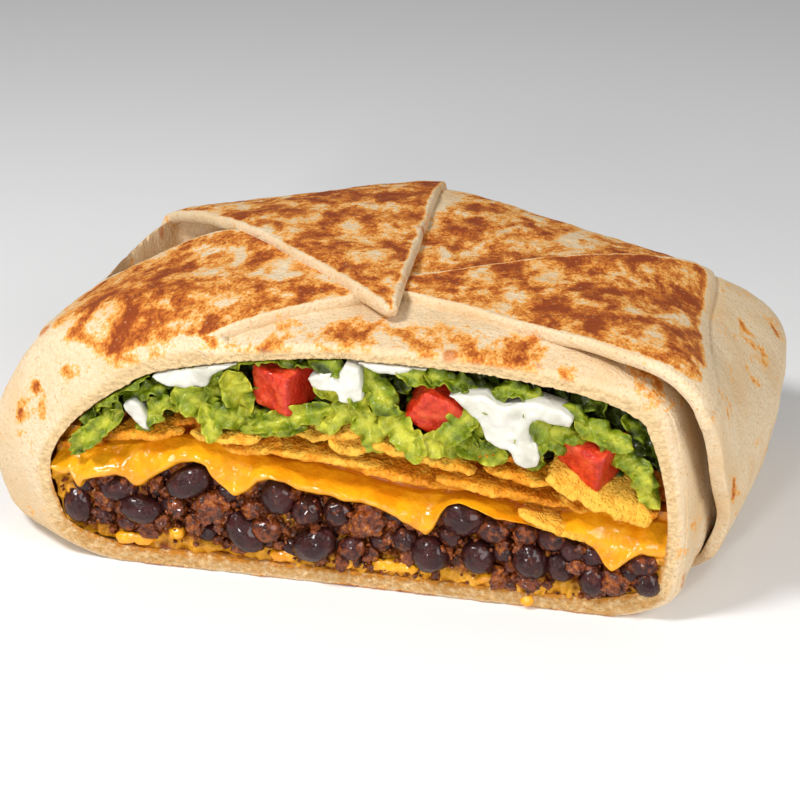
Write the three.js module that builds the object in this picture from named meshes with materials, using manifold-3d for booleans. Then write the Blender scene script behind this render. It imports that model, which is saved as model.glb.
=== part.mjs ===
// A folded and grilled tortilla wrap, cut through to show its filling.
// Millimetres, +Z up. The origin lies under the middle of the six-sided wrap, on its flat base.
// +X runs along the cut to the right and +Y runs away from the cut.

import * as THREE from 'three';
import { ConvexGeometry } from 'three/addons/geometries/ConvexGeometry.js';
import { mergeVertices } from 'three/addons/utils/BufferGeometryUtils.js';
import Module from 'manifold-3d';

const wasm = await Module();
wasm.setup();

// ---------------------------------------------------------------- driving dimensions

const degree = Math.PI / 180;
const gap = 0.3;
const cutPlane = -42;
const meeting = new THREE.Vector2(0, -18); // where the folded flaps meet, seen from above
const crownTop = 53; // height of the lowest tortilla layer at the meeting point
const crownRoll = 2 / 3; // how softly the crown starts to fall
const foldSharpness = 26; // how tightly the outline turns at a corner
const wallSegments = 48;
const hollowSegments = 36;

// The six folded corners and the dip between the two on the left: bearing and reach from the
// meeting point, height of the fold, how flat the top stays before it rolls over into the fold,
// how far the wall swells beyond the fold, the height of that swelling, and how far the wall
// still stands out at its foot.
const corners = [
  { bearing: -21.5, reach: 65, fold: 42, flatness: 5, belly: 3.5, bellyHeight: 18, foot: 1.5 },
  { bearing: 40, reach: 81, fold: 42, flatness: 3, belly: 20, bellyHeight: 27, foot: 7 },
  { bearing: 92.5, reach: 87, fold: 44.5, flatness: 3, belly: 10, bellyHeight: 24, foot: 3 },
  { bearing: 138.5, reach: 86.5, fold: 42.5, flatness: 2.6, belly: 8, bellyHeight: 22, foot: 3 },
  { bearing: 163, reach: 73.5, fold: 40, flatness: 2.2, belly: 9, bellyHeight: 20, foot: 1 },
  { bearing: 190, reach: 71, fold: 41.5, flatness: 2.6, belly: 11, bellyHeight: 19, foot: 7.5 },
  { bearing: 268, reach: 50, fold: 40, flatness: 3, belly: 13, bellyHeight: 12, foot: 13 },
];
const footRounding = 6.5;
const bellyRoundness = 1.7;

const wallThickness = 2.5;
const topThickness = 2.7;
const floorThickness = 3.6;
const flapThickness = 3.2;
const embed = 1; // how deep a flap is sunk into the layer that carries it
const wallStandOff = 2.4; // open gap behind the free edge of the right wall
const foldStandOff = 1.8; // how much further the right flap stands off at its fold
const topStandOff = 2; // how far the top flap is carried by the two flaps under it

// Each flap fans out from its tip between two bearings round the meeting point.
const leftFan = { tip: new THREE.Vector2(10, -15.6), from: 217, to: 146 };
const rightFan = { tip: new THREE.Vector2(-6, -17.4), from: -20, to: 39, bow: 3, footTurn: 15 };
const topFan = { tip: new THREE.Vector2(6, -34.5), from: 92.5, to: 139.5, hang: 1.6 };

// Filling layers, as heights at the middle of the cut, all sloping down to the right.
const layerSlope = 0.05;
const layers = { beans: 18, cheese: 24.5, chips: 31.5 };
const coreRecess = 1.6; // how far the plain cores lie behind the cut
const pieceReach = 1.8; // how far a piece may stand proud of the cut

// ---------------------------------------------------------------- small helpers

function seededRandom(seed) {
  let state = seed;
  return () => {
    state = (state + 0x6d2b79f5) | 0;
    let mixed = Math.imul(state ^ (state >>> 15), 1 | state);
    mixed = (mixed + Math.imul(mixed ^ (mixed >>> 7), 61 | mixed)) ^ mixed;
    return ((mixed ^ (mixed >>> 14)) >>> 0) / 4294967296;
  };
}

function smooth(from, to, value) {
  return THREE.MathUtils.smoothstep(value, from, to);
}

function spread(count, from, to) {
  return Array.from({ length: count }, (_, i) => from + ((to - from) * i) / (count - 1));
}

// A closed solid from points and triangles, turned the right way out.
function solidFrom(points, triangles) {
  const vertices = new Float32Array(points.flatMap((p) => [p.x, p.y, p.z]));
  const build = (list) =>
    new wasm.Manifold(
      new wasm.Mesh({ numProp: 3, vertProperties: vertices, triVerts: new Uint32Array(list.flat()) }),
    );
  const solid = build(triangles);
  return solid.volume() > 0 ? solid : build(triangles.map(([a, b, c]) => [a, c, b]));
}

// A closed solid from any closed three.js geometry.
function solidOf(geometry) {
  const bare = geometry.clone();
  bare.deleteAttribute('normal');
  bare.deleteAttribute('uv');
  const merged = mergeVertices(bare, 1e-4);
  return new wasm.Manifold(
    new wasm.Mesh({
      numProp: 3,
      vertProperties: new Float32Array(merged.attributes.position.array),
      triVerts: new Uint32Array(merged.index.array),
    }),
  );
}

function union(solids) {
  return solids.reduce((sum, solid) => sum.add(solid));
}

// The largest single body of a solid: loose crumbs left by a cut are dropped.
function largestBody(solid) {
  const bodies = solid.decompose();
  return bodies.reduce((best, body) => (body.volume() > best.volume() ? body : best));
}

function meshOf(name, solid, material) {
  const result = largestBody(solid).getMesh();
  const geometry = new THREE.BufferGeometry();
  geometry.setAttribute('position', new THREE.BufferAttribute(new Float32Array(result.vertProperties), 3));
  geometry.setIndex(new THREE.BufferAttribute(new Uint32Array(result.triVerts), 1));
  geometry.computeVertexNormals();
  const mesh = new THREE.Mesh(geometry, material);
  mesh.name = name;
  return mesh;
}

function block(low, high) {
  const size = new THREE.Vector3().subVectors(high, low);
  const geometry = new THREE.BoxGeometry(size.x, size.y, size.z);
  geometry.translate((low.x + high.x) / 2, (low.y + high.y) / 2, (low.z + high.z) / 2);
  return solidOf(geometry);
}

// ---------------------------------------------------------------- the wrap's outline and crown

const cornerPoints = corners.map(({ bearing, reach }) =>
  new THREE.Vector2(Math.cos(bearing * degree), Math.sin(bearing * degree)).multiplyScalar(reach),
);

// Each side of the fold outline as the direction it faces and its distance from the meeting point.
const sides = cornerPoints.map((start, i) => {
  const end = cornerPoints[(i + 1) % cornerPoints.length];
  const facing = new THREE.Vector2(end.y - start.y, start.x - end.x).normalize();
  return { facing: facing.angle(), distance: facing.dot(start) };
});

function foldRadius(bearing) {
  const sum = sides.reduce((total, side) => {
    const share = Math.max(0, Math.cos(bearing * degree - side.facing) / side.distance);
    return total + share ** foldSharpness;
  }, 0);
  return sum ** (-1 / foldSharpness);
}

// A corner's value carried smoothly round to its neighbours.
function around(bearing, key) {
  const turned = ((((bearing - corners[0].bearing) % 360) + 360) % 360) + corners[0].bearing;
  const next = corners.findIndex((corner) => corner.bearing > turned);
  const after = next < 0 ? { ...corners[0], bearing: corners[0].bearing + 360 } : corners[next];
  const before = corners[(next < 0 ? corners.length : next) - 1];
  return THREE.MathUtils.lerp(before[key], after[key], smooth(before.bearing, after.bearing, turned));
}

function wallRadius(bearing, height) {
  const fold = around(bearing, 'fold');
  const belly = around(bearing, 'belly');
  const bellyHeight = around(bearing, 'bellyHeight');
  const above = Math.max(0, height - bellyHeight) / (fold - bellyHeight);
  const below = Math.max(0, bellyHeight - height) / bellyHeight;
  const footCurl = footRounding * Math.max(0, 1 - height / footRounding) ** 2;
  const narrowing = (belly - around(bearing, 'foot')) * below ** bellyRoundness;
  return foldRadius(bearing) + belly * (1 - above ** bellyRoundness) - narrowing - footCurl;
}

// Height of the crown at a share of the way from the meeting point to the fold.
function crownAt(bearing, share) {
  const fold = around(bearing, 'fold');
  const rise = (1 - Math.min(1, share) ** around(bearing, 'flatness')) ** crownRoll;
  return fold + (crownTop - fold) * rise;
}

// A point of the wrap's outer skin: level 0 to 1 runs from the meeting point to the fold,
// level 1 to 2 from the fold down to the base.
function skinPoint(bearing, level) {
  const fold = around(bearing, 'fold');
  const onCrown = level <= 1;
  const height = onCrown ? crownAt(bearing, level) : fold * (2 - level);
  const radius = onCrown ? foldRadius(bearing) * level : wallRadius(bearing, height);
  return new THREE.Vector3(
    meeting.x + radius * Math.cos(bearing * degree),
    meeting.y + radius * Math.sin(bearing * degree),
    height,
  );
}

function crownHeight(x, y) {
  const offset = new THREE.Vector2(x, y).sub(meeting);
  const bearing = offset.angle() / degree;
  return crownAt(bearing, offset.length() / foldRadius(bearing));
}

// The whole uncut wrap as a solid, or the space inside it when it is inset.
const outerLevels = [0.3, 0.5, 0.66, 0.8, 0.9, 0.96, 1, 1.09, 1.22, 1.4, 1.6, 1.78, 1.88, 1.95, 2];
const innerLevels = [0.4, 0.66, 0.84, 0.95, 1, 1.12, 1.35, 1.65, 1.86, 1.95, 2];

function wrapSolid({ inset, floor, drop, segments, levels }) {
  const squeeze = (crownTop - drop - floor) / crownTop;
  const place = (point, level) => {
    const offset = new THREE.Vector2(point.x, point.y).sub(meeting);
    offset.setLength(offset.length() - inset * Math.min(1, level));
    return new THREE.Vector3(meeting.x + offset.x, meeting.y + offset.y, floor + point.z * squeeze);
  };
  const points = levels.flatMap((level) =>
    Array.from({ length: segments }, (_, i) => place(skinPoint((360 * i) / segments, level), level)),
  );
  const top = points.push(new THREE.Vector3(meeting.x, meeting.y, floor + crownTop * squeeze)) - 1;
  const base = points.push(new THREE.Vector3(meeting.x, meeting.y, floor)) - 1;
  const triangles = [];
  for (let i = 0; i < segments; i += 1) {
    const j = (i + 1) % segments;
    triangles.push([top, i, j]);
    for (let ring = 0; ring < levels.length - 1; ring += 1) {
      const a = ring * segments;
      const b = a + segments;
      triangles.push([a + i, b + i, b + j], [a + i, b + j, a + j]);
    }
    const last = (levels.length - 1) * segments;
    triangles.push([base, last + j, last + i]);
  }
  return solidFrom(points, triangles);
}

// ---------------------------------------------------------------- folded flaps

// A point on the skin along a ray from the flap's tip: reach 0 to 1 crosses the crown,
// reach 1 to 2 goes down the wall.
function flapPoint(tip, bearing, reach) {
  if (reach > 1) {
    return skinPoint(bearing, reach);
  }
  const fold = skinPoint(bearing, 1);
  const x = THREE.MathUtils.lerp(tip.x, fold.x, reach);
  const y = THREE.MathUtils.lerp(tip.y, fold.y, reach);
  return new THREE.Vector3(x, y, crownHeight(x, y));
}

function flapNormal(tip, bearing, reach) {
  const step = 0.01;
  const turn = 0.6;
  const along = new THREE.Vector3().subVectors(
    flapPoint(tip, bearing, Math.min(2, reach + step)),
    flapPoint(tip, bearing, Math.max(0.02, reach - step)),
  );
  const across = new THREE.Vector3().subVectors(
    flapPoint(tip, bearing + turn, reach),
    flapPoint(tip, bearing - turn, reach),
  );
  return along.cross(across).normalize();
}

// A sheet that lies on the skin between two bearings, with rounded free edges.
// outer and inner give its two faces' distance from the skin, by reach and by share across.
const noseAngles = [0, 35 * degree, 90 * degree]; // the rounding of a free edge
const noseLimit = 0.3; // largest share of the width that one rounded edge may take
const bluntness = 0.5; // thickness of the tip as a share of the flap's own

function flapSolid({ tip, from, to, reaches, outer, inner, across = 9 }) {
  const sections = reaches.map((reach, station) => {
    const start = from(reach);
    const end = to(reach);
    const width = flapPoint(tip, start, reach).distanceTo(flapPoint(tip, end, reach));
    const tipRounding = station === 0 ? bluntness : 1;
    const nose = Math.min(flapThickness / 2, width * noseLimit) / width;
    const noseShares = noseAngles.map((angle) => nose * (1 - Math.cos(angle)));
    const noseHeights = noseAngles.map((angle) => Math.sin(angle));
    const inside = spread(across, nose, 1 - nose).slice(1, -1);
    const shares = [...noseShares, ...inside, ...noseShares.map((share) => 1 - share).reverse()];
    const heights = [...noseHeights, ...inside.map(() => 1), ...[...noseHeights].reverse()];
    const face = (side) =>
      shares.map((share, i) => {
        const bearing = THREE.MathUtils.lerp(start, end, share);
        const middle = (outer(reach, share) + inner(reach, share)) / 2;
        const half = ((outer(reach, share) - inner(reach, share)) / 2) * heights[i] * tipRounding;
        const normal = flapNormal(tip, bearing, reach);
        return flapPoint(tip, bearing, reach).addScaledVector(normal, middle + side * half);
      });
    return { over: face(1), under: face(-1).slice(1, -1).reverse() };
  });
  const count = sections[0].over.length;
  const loop = 2 * count - 2;
  const points = sections.flatMap(({ over, under }) => [...over, ...under]);
  const triangles = [];
  for (let s = 0; s < sections.length - 1; s += 1) {
    for (let i = 0; i < loop; i += 1) {
      const a = s * loop + i;
      const b = s * loop + ((i + 1) % loop);
      triangles.push([a, a + loop, b + loop], [a, b + loop, b]);
    }
  }
  const cap = (offset, flip) => {
    for (let i = 0; i < count - 1; i += 1) {
      const lower = (loop - i) % loop;
      const nextLower = loop - i - 1;
      const quad = [
        [i, i + 1, nextLower],
        [i, nextLower, lower],
      ].filter((corner) => new Set(corner).size === 3);
      quad.forEach(([a, b, c]) => {
        triangles.push(flip ? [offset + a, offset + c, offset + b] : [offset + a, offset + b, offset + c]);
      });
    }
  };
  cap(0, false);
  cap((sections.length - 1) * loop, true);
  return solidFrom(points, triangles);
}

const crownReaches = [0.2, 0.34, 0.48, 0.62, 0.75, 0.86, 0.93, 0.97, 1];
const wallReaches = [1.07, 1.18, 1.32, 1.48, 1.64, 1.78, 1.88, 1.94, 1.99];
const hiddenTip = 0.12; // where a flap starts whose tip lies under another
const openTip = 0.035;

// Left front flap: its cut front edge lies on the front strip, its far side merges into the wall.
function leftFlap() {
  const thinEnd = 0.2;
  return flapSolid({
    tip: leftFan.tip,
    from: () => leftFan.from,
    to: () => leftFan.to,
    reaches: [hiddenTip, ...crownReaches, 1.05],
    outer: (reach) => flapThickness * (1 - smooth(0.72, 1.02, reach)) + thinEnd,
    inner: () => -embed,
  });
}

// Right flap: it turns over the fold and runs down as an outer wall whose front edge stands free.
function rightFlap() {
  const closing = 0.7; // how much of the open gap closes again towards the base
  const thinning = 0.8; // how much thinner the flap is where the top flap covers it
  const atFold = (reach) => smooth(0.82, 0.98, reach) * (1 - smooth(1.0, 1.5, reach));
  const opening = (reach) => smooth(0.5, 0.95, reach) * (1 - closing * smooth(1.5, 1.95, reach));
  const lift = (reach, share) => {
    const nearEdge = 1 - smooth(0, 0.75, share);
    return ((wallStandOff + embed) * opening(reach) + foldStandOff * atFold(reach)) * nearEdge;
  };
  const bow = (reach) => smooth(0.3, 0.7, reach) * (1 - smooth(0.75, 1.1, reach));
  const swing = (reach) => rightFan.footTurn * smooth(0.98, 1.95, reach) - rightFan.bow * bow(reach);
  return flapSolid({
    tip: rightFan.tip,
    from: (reach) => rightFan.from + swing(reach),
    to: () => rightFan.to,
    reaches: [hiddenTip, ...crownReaches, ...wallReaches],
    outer: (reach, share) => flapThickness + lift(reach, share) - thinning * share,
    inner: (reach, share) => lift(reach, share) - embed,
  });
}

// Back left flap: the last one folded, so it lies over the left and right flaps.
function topFlap() {
  const thinEnd = 0.4;
  const carried = (reach, share) => {
    const overRight = (1 - share) * (1 - smooth(0.15, 0.5, reach));
    return topStandOff * (share + overRight) * (1 - smooth(0.5, 1, reach));
  };
  const thinning = (reach) => (flapThickness - thinEnd) * smooth(1, topFan.hang, reach);
  return flapSolid({
    tip: topFan.tip,
    from: () => topFan.from,
    to: () => topFan.to,
    reaches: [openTip, ...crownReaches, ...wallReaches.filter((reach) => reach < topFan.hang), topFan.hang],
    outer: (reach, share) => flapThickness + carried(reach, share) - thinning(reach),
    inner: () => -embed,
  });
}

// The open pocket behind the left flap's shoulder, under the left end of the top flap.
const pocketRim = [
  [-60.5, 38],
  [-40, 28],
  [-43, 15],
  [-54, 7],
  [-66, 2],
  [-67, 18],
];
const pocketFloor = [
  [-61, 30],
  [-55, 22],
  [-64, 12],
];
const pocketBottom = 27;
const pocketLip = 41; // below this height the pocket narrows towards its floor
const pocketTop = crownTop + 10;
const slopeSpread = 1.4; // how much further a sloping side moves out than its wall is thick

function pocketSolid(grow) {
  const outline = (points, height) => {
    const list = points.map(([x, y]) => new THREE.Vector3(x, y, height));
    const centre = list.reduce((sum, p) => sum.add(p), new THREE.Vector3()).divideScalar(list.length);
    return list.map((p) => p.clone().addScaledVector(p.clone().sub(centre).normalize(), grow * slopeSpread));
  };
  const rings = [
    outline(pocketRim, pocketTop),
    outline(pocketRim, pocketLip),
    outline(pocketFloor, pocketBottom - grow),
  ];
  return solidOf(new ConvexGeometry(rings.flat()));
}

// ---------------------------------------------------------------- tortilla

const far = 150; // well clear of the wrap on every side
const farCorner = new THREE.Vector3(far, far, far);
const aboveBase = block(new THREE.Vector3(-far, -far, 0), farCorner);
const behindCut = (recess) => block(new THREE.Vector3(-far, cutPlane + recess, -far), farCorner);

function hollow(clearance) {
  return wrapSolid({
    inset: wallThickness + clearance,
    floor: floorThickness + clearance,
    drop: topThickness + clearance,
    segments: hollowSegments,
    levels: innerLevels,
  }).subtract(pocketSolid(wallThickness + clearance));
}

function tortillaSolid() {
  const body = wrapSolid({ inset: 0, floor: 0, drop: 0, segments: wallSegments, levels: outerLevels });
  return body
    .add(leftFlap())
    .subtract(pocketSolid(0))
    .add(rightFlap())
    .add(topFlap())
    .subtract(hollow(0))
    .intersect(aboveBase)
    .intersect(behindCut(0));
}

// ---------------------------------------------------------------- filling

const inside = hollow(gap);
const layerTop = (height, x) => height - layerSlope * x;

// The space between two sloping heights, as a plain slab behind the cut.
function layerSlab(low, high, recess) {
  const ends = [-far, far].flatMap((x) =>
    [cutPlane + recess, far].flatMap((y) => [
      new THREE.Vector3(x, y, layerTop(low, x)),
      new THREE.Vector3(x, y, layerTop(high, x)),
    ]),
  );
  return solidOf(new ConvexGeometry(ends));
}

// A rounded lump at the cut, with its half sizes across, in depth and in height.
function lump({ x, z, across, depth, height, turn = 0, back = 0 }, grow = 0) {
  const geometry = new THREE.IcosahedronGeometry(1, 1);
  geometry.scale(across + grow, depth + grow, height + grow);
  geometry.rotateY(turn);
  geometry.translate(x, cutPlane + back, z);
  return solidOf(geometry);
}

const tomatoes = [
  { x: -14.5, z: 42, across: 12, height: 9.5, turn: -14 },
  { x: 14.5, z: 40.5, across: 11, height: 9, turn: 6 },
  { x: 44, z: 32.5, across: 12, height: 9, turn: 18 },
];
const tomatoDepth = 12;

// A diced piece of tomato: a cube with a sloping side and clipped corners.
function tomatoSolid({ x, z, across, height, turn }, grow = 0) {
  const halfWide = across / 2 + grow;
  const halfHigh = height / 2 + grow;
  const front = -pieceReach - grow;
  const back = tomatoDepth + grow;
  const clip = 0.72;
  const corner = (px, y, pz) => new THREE.Vector3(px, y, pz);
  const points = [front, back].flatMap((y) => [
    corner(-halfWide, y, -halfHigh * 0.5),
    corner(-halfWide * 0.8, y, halfHigh * 0.6),
    corner(-halfWide * 0.1, y, halfHigh),
    corner(halfWide * 0.9, y, halfHigh * 0.95),
    corner(halfWide, y, -halfHigh * clip),
    corner(halfWide * 0.2, y, -halfHigh),
    corner(-halfWide * clip, y, -halfHigh),
  ]);
  const geometry = new ConvexGeometry(points);
  geometry.rotateY(-turn * degree);
  geometry.translate(x, cutPlane, z);
  return solidOf(geometry);
}

const creams = [
  { x: -32, z: 43, across: 8.5, depth: 11, height: 3.4, turn: -0.3 },
  { x: -43.5, z: 34.5, across: 2.6, depth: 8, height: 4.2, turn: 0.45 },
  { x: -3.5, z: 43.5, across: 4.2, depth: 10, height: 3.2, turn: 0.2 },
  { x: 5.5, z: 47.6, across: 5, depth: 9, height: 1.7, turn: 0.12 },
  { x: 29, z: 40, across: 8.5, depth: 12, height: 4.6, turn: 0.5 },
];

// A flat corn chip: a rough-edged triangle lying almost level in the layer.
const chips = [
  { x: -43, z: 28.5, wide: 17, deep: 12, tilt: 6, yaw: 10 },
  { x: -27, z: 30.5, wide: 22, deep: 15, tilt: -6, yaw: -14 },
  { x: -12, z: 27.5, wide: 26, deep: 15, tilt: 4, yaw: 20 },
  { x: -1, z: 31.5, wide: 22, deep: 14, tilt: -9, yaw: -8 },
  { x: 14, z: 29, wide: 28, deep: 16, tilt: 5, yaw: 12 },
  { x: 30, z: 27.5, wide: 24, deep: 15, tilt: -3, yaw: -16 },
  { x: 24, z: 24, wide: 30, deep: 14, tilt: 2, yaw: 6 },
  { x: 40, z: 21, wide: 18, deep: 12, tilt: 8, yaw: 14 },
  { x: 49, z: 25.5, wide: 20, deep: 13, tilt: 13, yaw: -10 },
];
const chipThickness = 1.9;

function chipSolid({ x, z, wide, deep, tilt, yaw }, grow = 0) {
  const halfWide = wide / 2 + grow;
  const outline = new THREE.Shape([
    new THREE.Vector2(-halfWide, deep * 0.2),
    new THREE.Vector2(-halfWide * 0.45, -grow),
    new THREE.Vector2(halfWide * 0.35, -pieceReach * 0.5 - grow),
    new THREE.Vector2(halfWide, deep * 0.15),
    new THREE.Vector2(halfWide * 0.2, deep + grow),
  ]);
  const depth = chipThickness + 2 * grow;
  const geometry = new THREE.ExtrudeGeometry(outline, { depth, bevelEnabled: false });
  geometry.translate(0, 0, -grow - chipThickness / 2);
  geometry.rotateZ(yaw * degree * 0.5);
  geometry.rotateY(tilt * degree);
  geometry.rotateX(-0.1);
  geometry.translate(x, cutPlane, z);
  return solidOf(geometry);
}

function chipHeap(grow = 0) {
  const core = layerSlab(layers.cheese + gap - grow, layers.chips + grow, coreRecess * 3 - grow);
  return union([core, ...chips.map((chip) => chipSolid(chip, grow))]);
}

// Melted cheese: a layer over the beans whose front hangs down over them in drips.
const drips = [
  { x: -55, fall: 4, width: 3 },
  { x: -45, fall: 2, width: 6 },
  { x: -23, fall: 4.5, width: 3.5 },
  { x: -5, fall: 1.5, width: 5 },
  { x: 10, fall: 6, width: 3 },
  { x: 31, fall: 1, width: 5 },
  { x: 48, fall: 6, width: 3.6 },
  { x: 56, fall: 2.5, width: 5 },
];
const curtain = { edge: 20.6, from: -66, to: 63, steps: 44, thickness: 2.4, proud: 1.2 };

// Height of the cheese's lower edge at the cut.
function cheeseEdge(x) {
  const fallen = (drip) => drip.fall * Math.exp(-(((x - drip.x) / drip.width) ** 2));
  return drips.reduce((edge, drip) => edge - fallen(drip), layerTop(curtain.edge, x));
}

function cheeseHeap(grow = 0) {
  const core = layerSlab(layers.beans - grow, layers.cheese + grow, coreRecess * 0.5 - grow);
  const along = spread(curtain.steps, curtain.from, curtain.to);
  const low = along.map((x) => new THREE.Vector2(x, cheeseEdge(x) - grow));
  const high = [curtain.to, curtain.from].map((x) => new THREE.Vector2(x, layerTop(layers.cheese, x) + grow));
  const front = new THREE.ExtrudeGeometry(new THREE.Shape([...low, ...high]), {
    depth: curtain.thickness + 2 * grow,
    bevelEnabled: false,
  });
  front.rotateX(90 * degree);
  front.translate(0, cutPlane - curtain.proud + curtain.thickness + grow, 0);
  return core.add(solidOf(front));
}

// Black beans: three uneven rows at the cut, seeded so that they always fall the same way.
const bean = { length: 8.6, width: 6.7 };
const beanRows = [
  { height: 8.2, shift: 0 },
  { height: 13.8, shift: 4 },
  { height: 19, shift: 1.5 },
];
const beanPitch = 9.4;
const beanSpan = 60;

function beanPlaces() {
  const random = seededRandom(11);
  return beanRows.flatMap(({ height, shift }) => {
    const beanCount = Math.floor((2 * beanSpan - shift) / beanPitch) + 1;
    return spread(beanCount, -beanSpan + shift, beanSpan).map((x) => ({
      x: x + (random() - 0.5) * 2.4,
      z: layerTop(height, x) * 0.96 + (random() - 0.5) * 1.6,
      across: (bean.length / 2) * (0.9 + 0.2 * random()),
      depth: bean.width / 2,
      height: (bean.width / 2) * (0.92 + 0.16 * random()),
      turn: (random() - 0.5) * 2.2,
      back: 1.2 + 1.4 * random(),
    }));
  });
}

function beanHeap() {
  const core = layerSlab(-far, layers.beans - gap, coreRecess);
  return union([core, ...beanPlaces().map((place) => lump(place))]);
}

// A shred of lettuce: a thin ribbon that runs across the cut and ripples.
const shred = { thickness: 1.7, stations: 6, above: 1.5, below: 2.5 };
const shredCount = 17;
const shredRows = [0.15, 0.8, 0.45]; // shares of the layer's height that shreds take in turn

function shredSolid({ x, z, length, width, turn, phase, lean }) {
  const points = [];
  spread(shred.stations, -0.5, 0.5).forEach((share) => {
    const ripple = Math.sin(phase + share * 9) * 1.5;
    const taper = 1 - 0.5 * (2 * share) ** 2;
    [-0.5, 0.5].forEach((side) => {
      [-0.5, 0.5].forEach((face) => {
        const across = side * width * taper;
        const frill = Math.cos(phase * 1.7 + share * 11) * 1.2 * side;
        points.push(
          new THREE.Vector3(
            share * length,
            across * Math.cos(lean) + face * shred.thickness * Math.sin(lean),
            ripple + frill + across * Math.sin(lean) + face * shred.thickness,
          ),
        );
      });
    });
  });
  const ring = [0, 1, 3, 2];
  const triangles = [];
  for (let s = 0; s < shred.stations - 1; s += 1) {
    ring.forEach((a, i) => {
      const b = ring[(i + 1) % 4];
      const here = 4 * s;
      triangles.push([here + a, here + 4 + a, here + 4 + b], [here + a, here + 4 + b, here + b]);
    });
  }
  const end = 4 * (shred.stations - 1);
  triangles.push([0, 1, 3], [0, 3, 2], [end, end + 3, end + 1], [end, end + 2, end + 3]);
  const turned = points.map((p) => p.applyAxisAngle(new THREE.Vector3(0, 1, 0), turn));
  return solidFrom(
    turned.map((p) => p.add(new THREE.Vector3(x, cutPlane + 1.6, z))),
    triangles,
  );
}

function shredPlaces() {
  const random = seededRandom(5);
  return spread(shredCount, -55, 58).map((x, i) => {
    const low = layerTop(layers.chips, x) + shred.above;
    const high = crownHeight(x, cutPlane) - topThickness - shred.below;
    const share = shredRows[i % shredRows.length] + 0.15 * (random() - 0.5);
    return {
      x,
      z: THREE.MathUtils.lerp(low, Math.max(low, high), share),
      length: 13 + 7 * random(),
      width: 6 + 3 * random(),
      turn: (random() - 0.5) * 1.9,
      phase: random() * 6,
      lean: 0.3 + 0.9 * random(),
    };
  });
}

function lettuceHeap() {
  const core = layerSlab(layers.chips + gap, far, coreRecess * 1.5);
  return union([core, ...shredPlaces().map(shredSolid)]);
}

// What is left of a filling inside the hollow once its neighbours have taken their place.
function within(solid, taken) {
  const held = solid.intersect(inside).intersect(behindCut(-pieceReach));
  return taken.reduce((left, other) => left.subtract(other), held);
}

// ---------------------------------------------------------------- finishes and nodes

const finish = (color, roughness) => new THREE.MeshStandardMaterial({ color, roughness, metalness: 0 });
const finishes = {
  tortilla: finish(0xe3c594, 0.8),
  beans: finish(0x33201f, 0.35),
  cheese: finish(0xf0a31c, 0.3),
  chips: finish(0xdf9b35, 0.75),
  lettuce: finish(0x8fae3a, 0.5),
  tomato: finish(0xcf3320, 0.3),
  cream: finish(0xf4f0e6, 0.35),
};

const crunchwrap = new THREE.Group();
crunchwrap.add(meshOf('tortilla', tortillaSolid(), finishes.tortilla));

const diced = (grow) => tomatoes.map((tomato) => tomatoSolid(tomato, grow));
const spooned = (grow) => creams.map((cream) => lump(cream, grow));

crunchwrap.add(meshOf('bean_filling', within(beanHeap(), [cheeseHeap(gap)]), finishes.beans));
crunchwrap.add(meshOf('melted_cheese', within(cheeseHeap(), [chipHeap(gap)]), finishes.cheese));
crunchwrap.add(meshOf('corn_chips', within(chipHeap(), [...diced(gap), ...spooned(gap)]), finishes.chips));
crunchwrap.add(
  meshOf('lettuce', within(lettuceHeap(), [...diced(gap), ...spooned(gap), chipHeap(gap)]), finishes.lettuce),
);
diced(0).forEach((solid, i) => {
  crunchwrap.add(meshOf(`tomato_${i + 1}`, within(solid, spooned(gap)), finishes.tomato));
});
spooned(0).forEach((solid, i) => {
  crunchwrap.add(meshOf(`sour_cream_${i + 1}`, within(solid, []), finishes.cream));
});

export default crunchwrap;
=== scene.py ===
"""Looks for a folded and grilled tortilla wrap that is cut through to show its filling.

Sizes are in millimetres until a mesh is made, and in the part's own frame: the origin lies under
the middle of the six-sided wrap, +X runs along the cut to the right, +Y away from it and +Z up.
"""

import logging
import math
from collections.abc import Callable, Iterable, Mapping, Sequence
from dataclasses import dataclass, field
from enum import Enum
from functools import cache
from itertools import product

import bmesh
import bpy
import numpy as np
from mathutils import Euler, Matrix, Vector


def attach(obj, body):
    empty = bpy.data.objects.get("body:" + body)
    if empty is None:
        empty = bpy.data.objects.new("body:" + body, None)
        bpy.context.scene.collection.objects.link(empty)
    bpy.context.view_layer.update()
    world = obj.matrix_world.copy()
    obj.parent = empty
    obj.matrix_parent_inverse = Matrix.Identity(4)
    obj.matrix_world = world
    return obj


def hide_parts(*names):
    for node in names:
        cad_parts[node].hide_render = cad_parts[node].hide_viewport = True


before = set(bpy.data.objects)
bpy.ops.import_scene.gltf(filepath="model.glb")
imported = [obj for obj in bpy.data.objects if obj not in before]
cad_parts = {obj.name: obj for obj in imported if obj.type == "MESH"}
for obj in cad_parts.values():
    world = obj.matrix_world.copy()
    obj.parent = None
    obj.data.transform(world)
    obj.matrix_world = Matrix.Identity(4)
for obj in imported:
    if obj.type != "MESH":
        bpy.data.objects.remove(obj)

MM = 0.001
Array = np.ndarray
Piece = bpy.types.Object
Material = bpy.types.Material
Pair = tuple[float, float]
Settings = Mapping[str | int, object] | None
Curve = Callable[..., Array]
Colour = tuple[float, float, float]
Point = tuple[float, float, float]
SHUFFLED = np.random.default_rng(3).permutation(256)
SLOPES = np.random.default_rng(4).normal(size=(256, 3))
SLOPES /= np.linalg.norm(SLOPES, axis=1, keepdims=True)
log = logging.getLogger("wrap")
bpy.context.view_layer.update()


# ---------------- numbers and meshes


def smooth(low: float, high: float, value: Array | float) -> Array:
    """Eases values from 0 at low to 1 at high."""
    share = np.clip((np.asarray(value, float) - low) / (high - low), 0.0, 1.0)
    return share * share * (3.0 - 2.0 * share)


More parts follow.
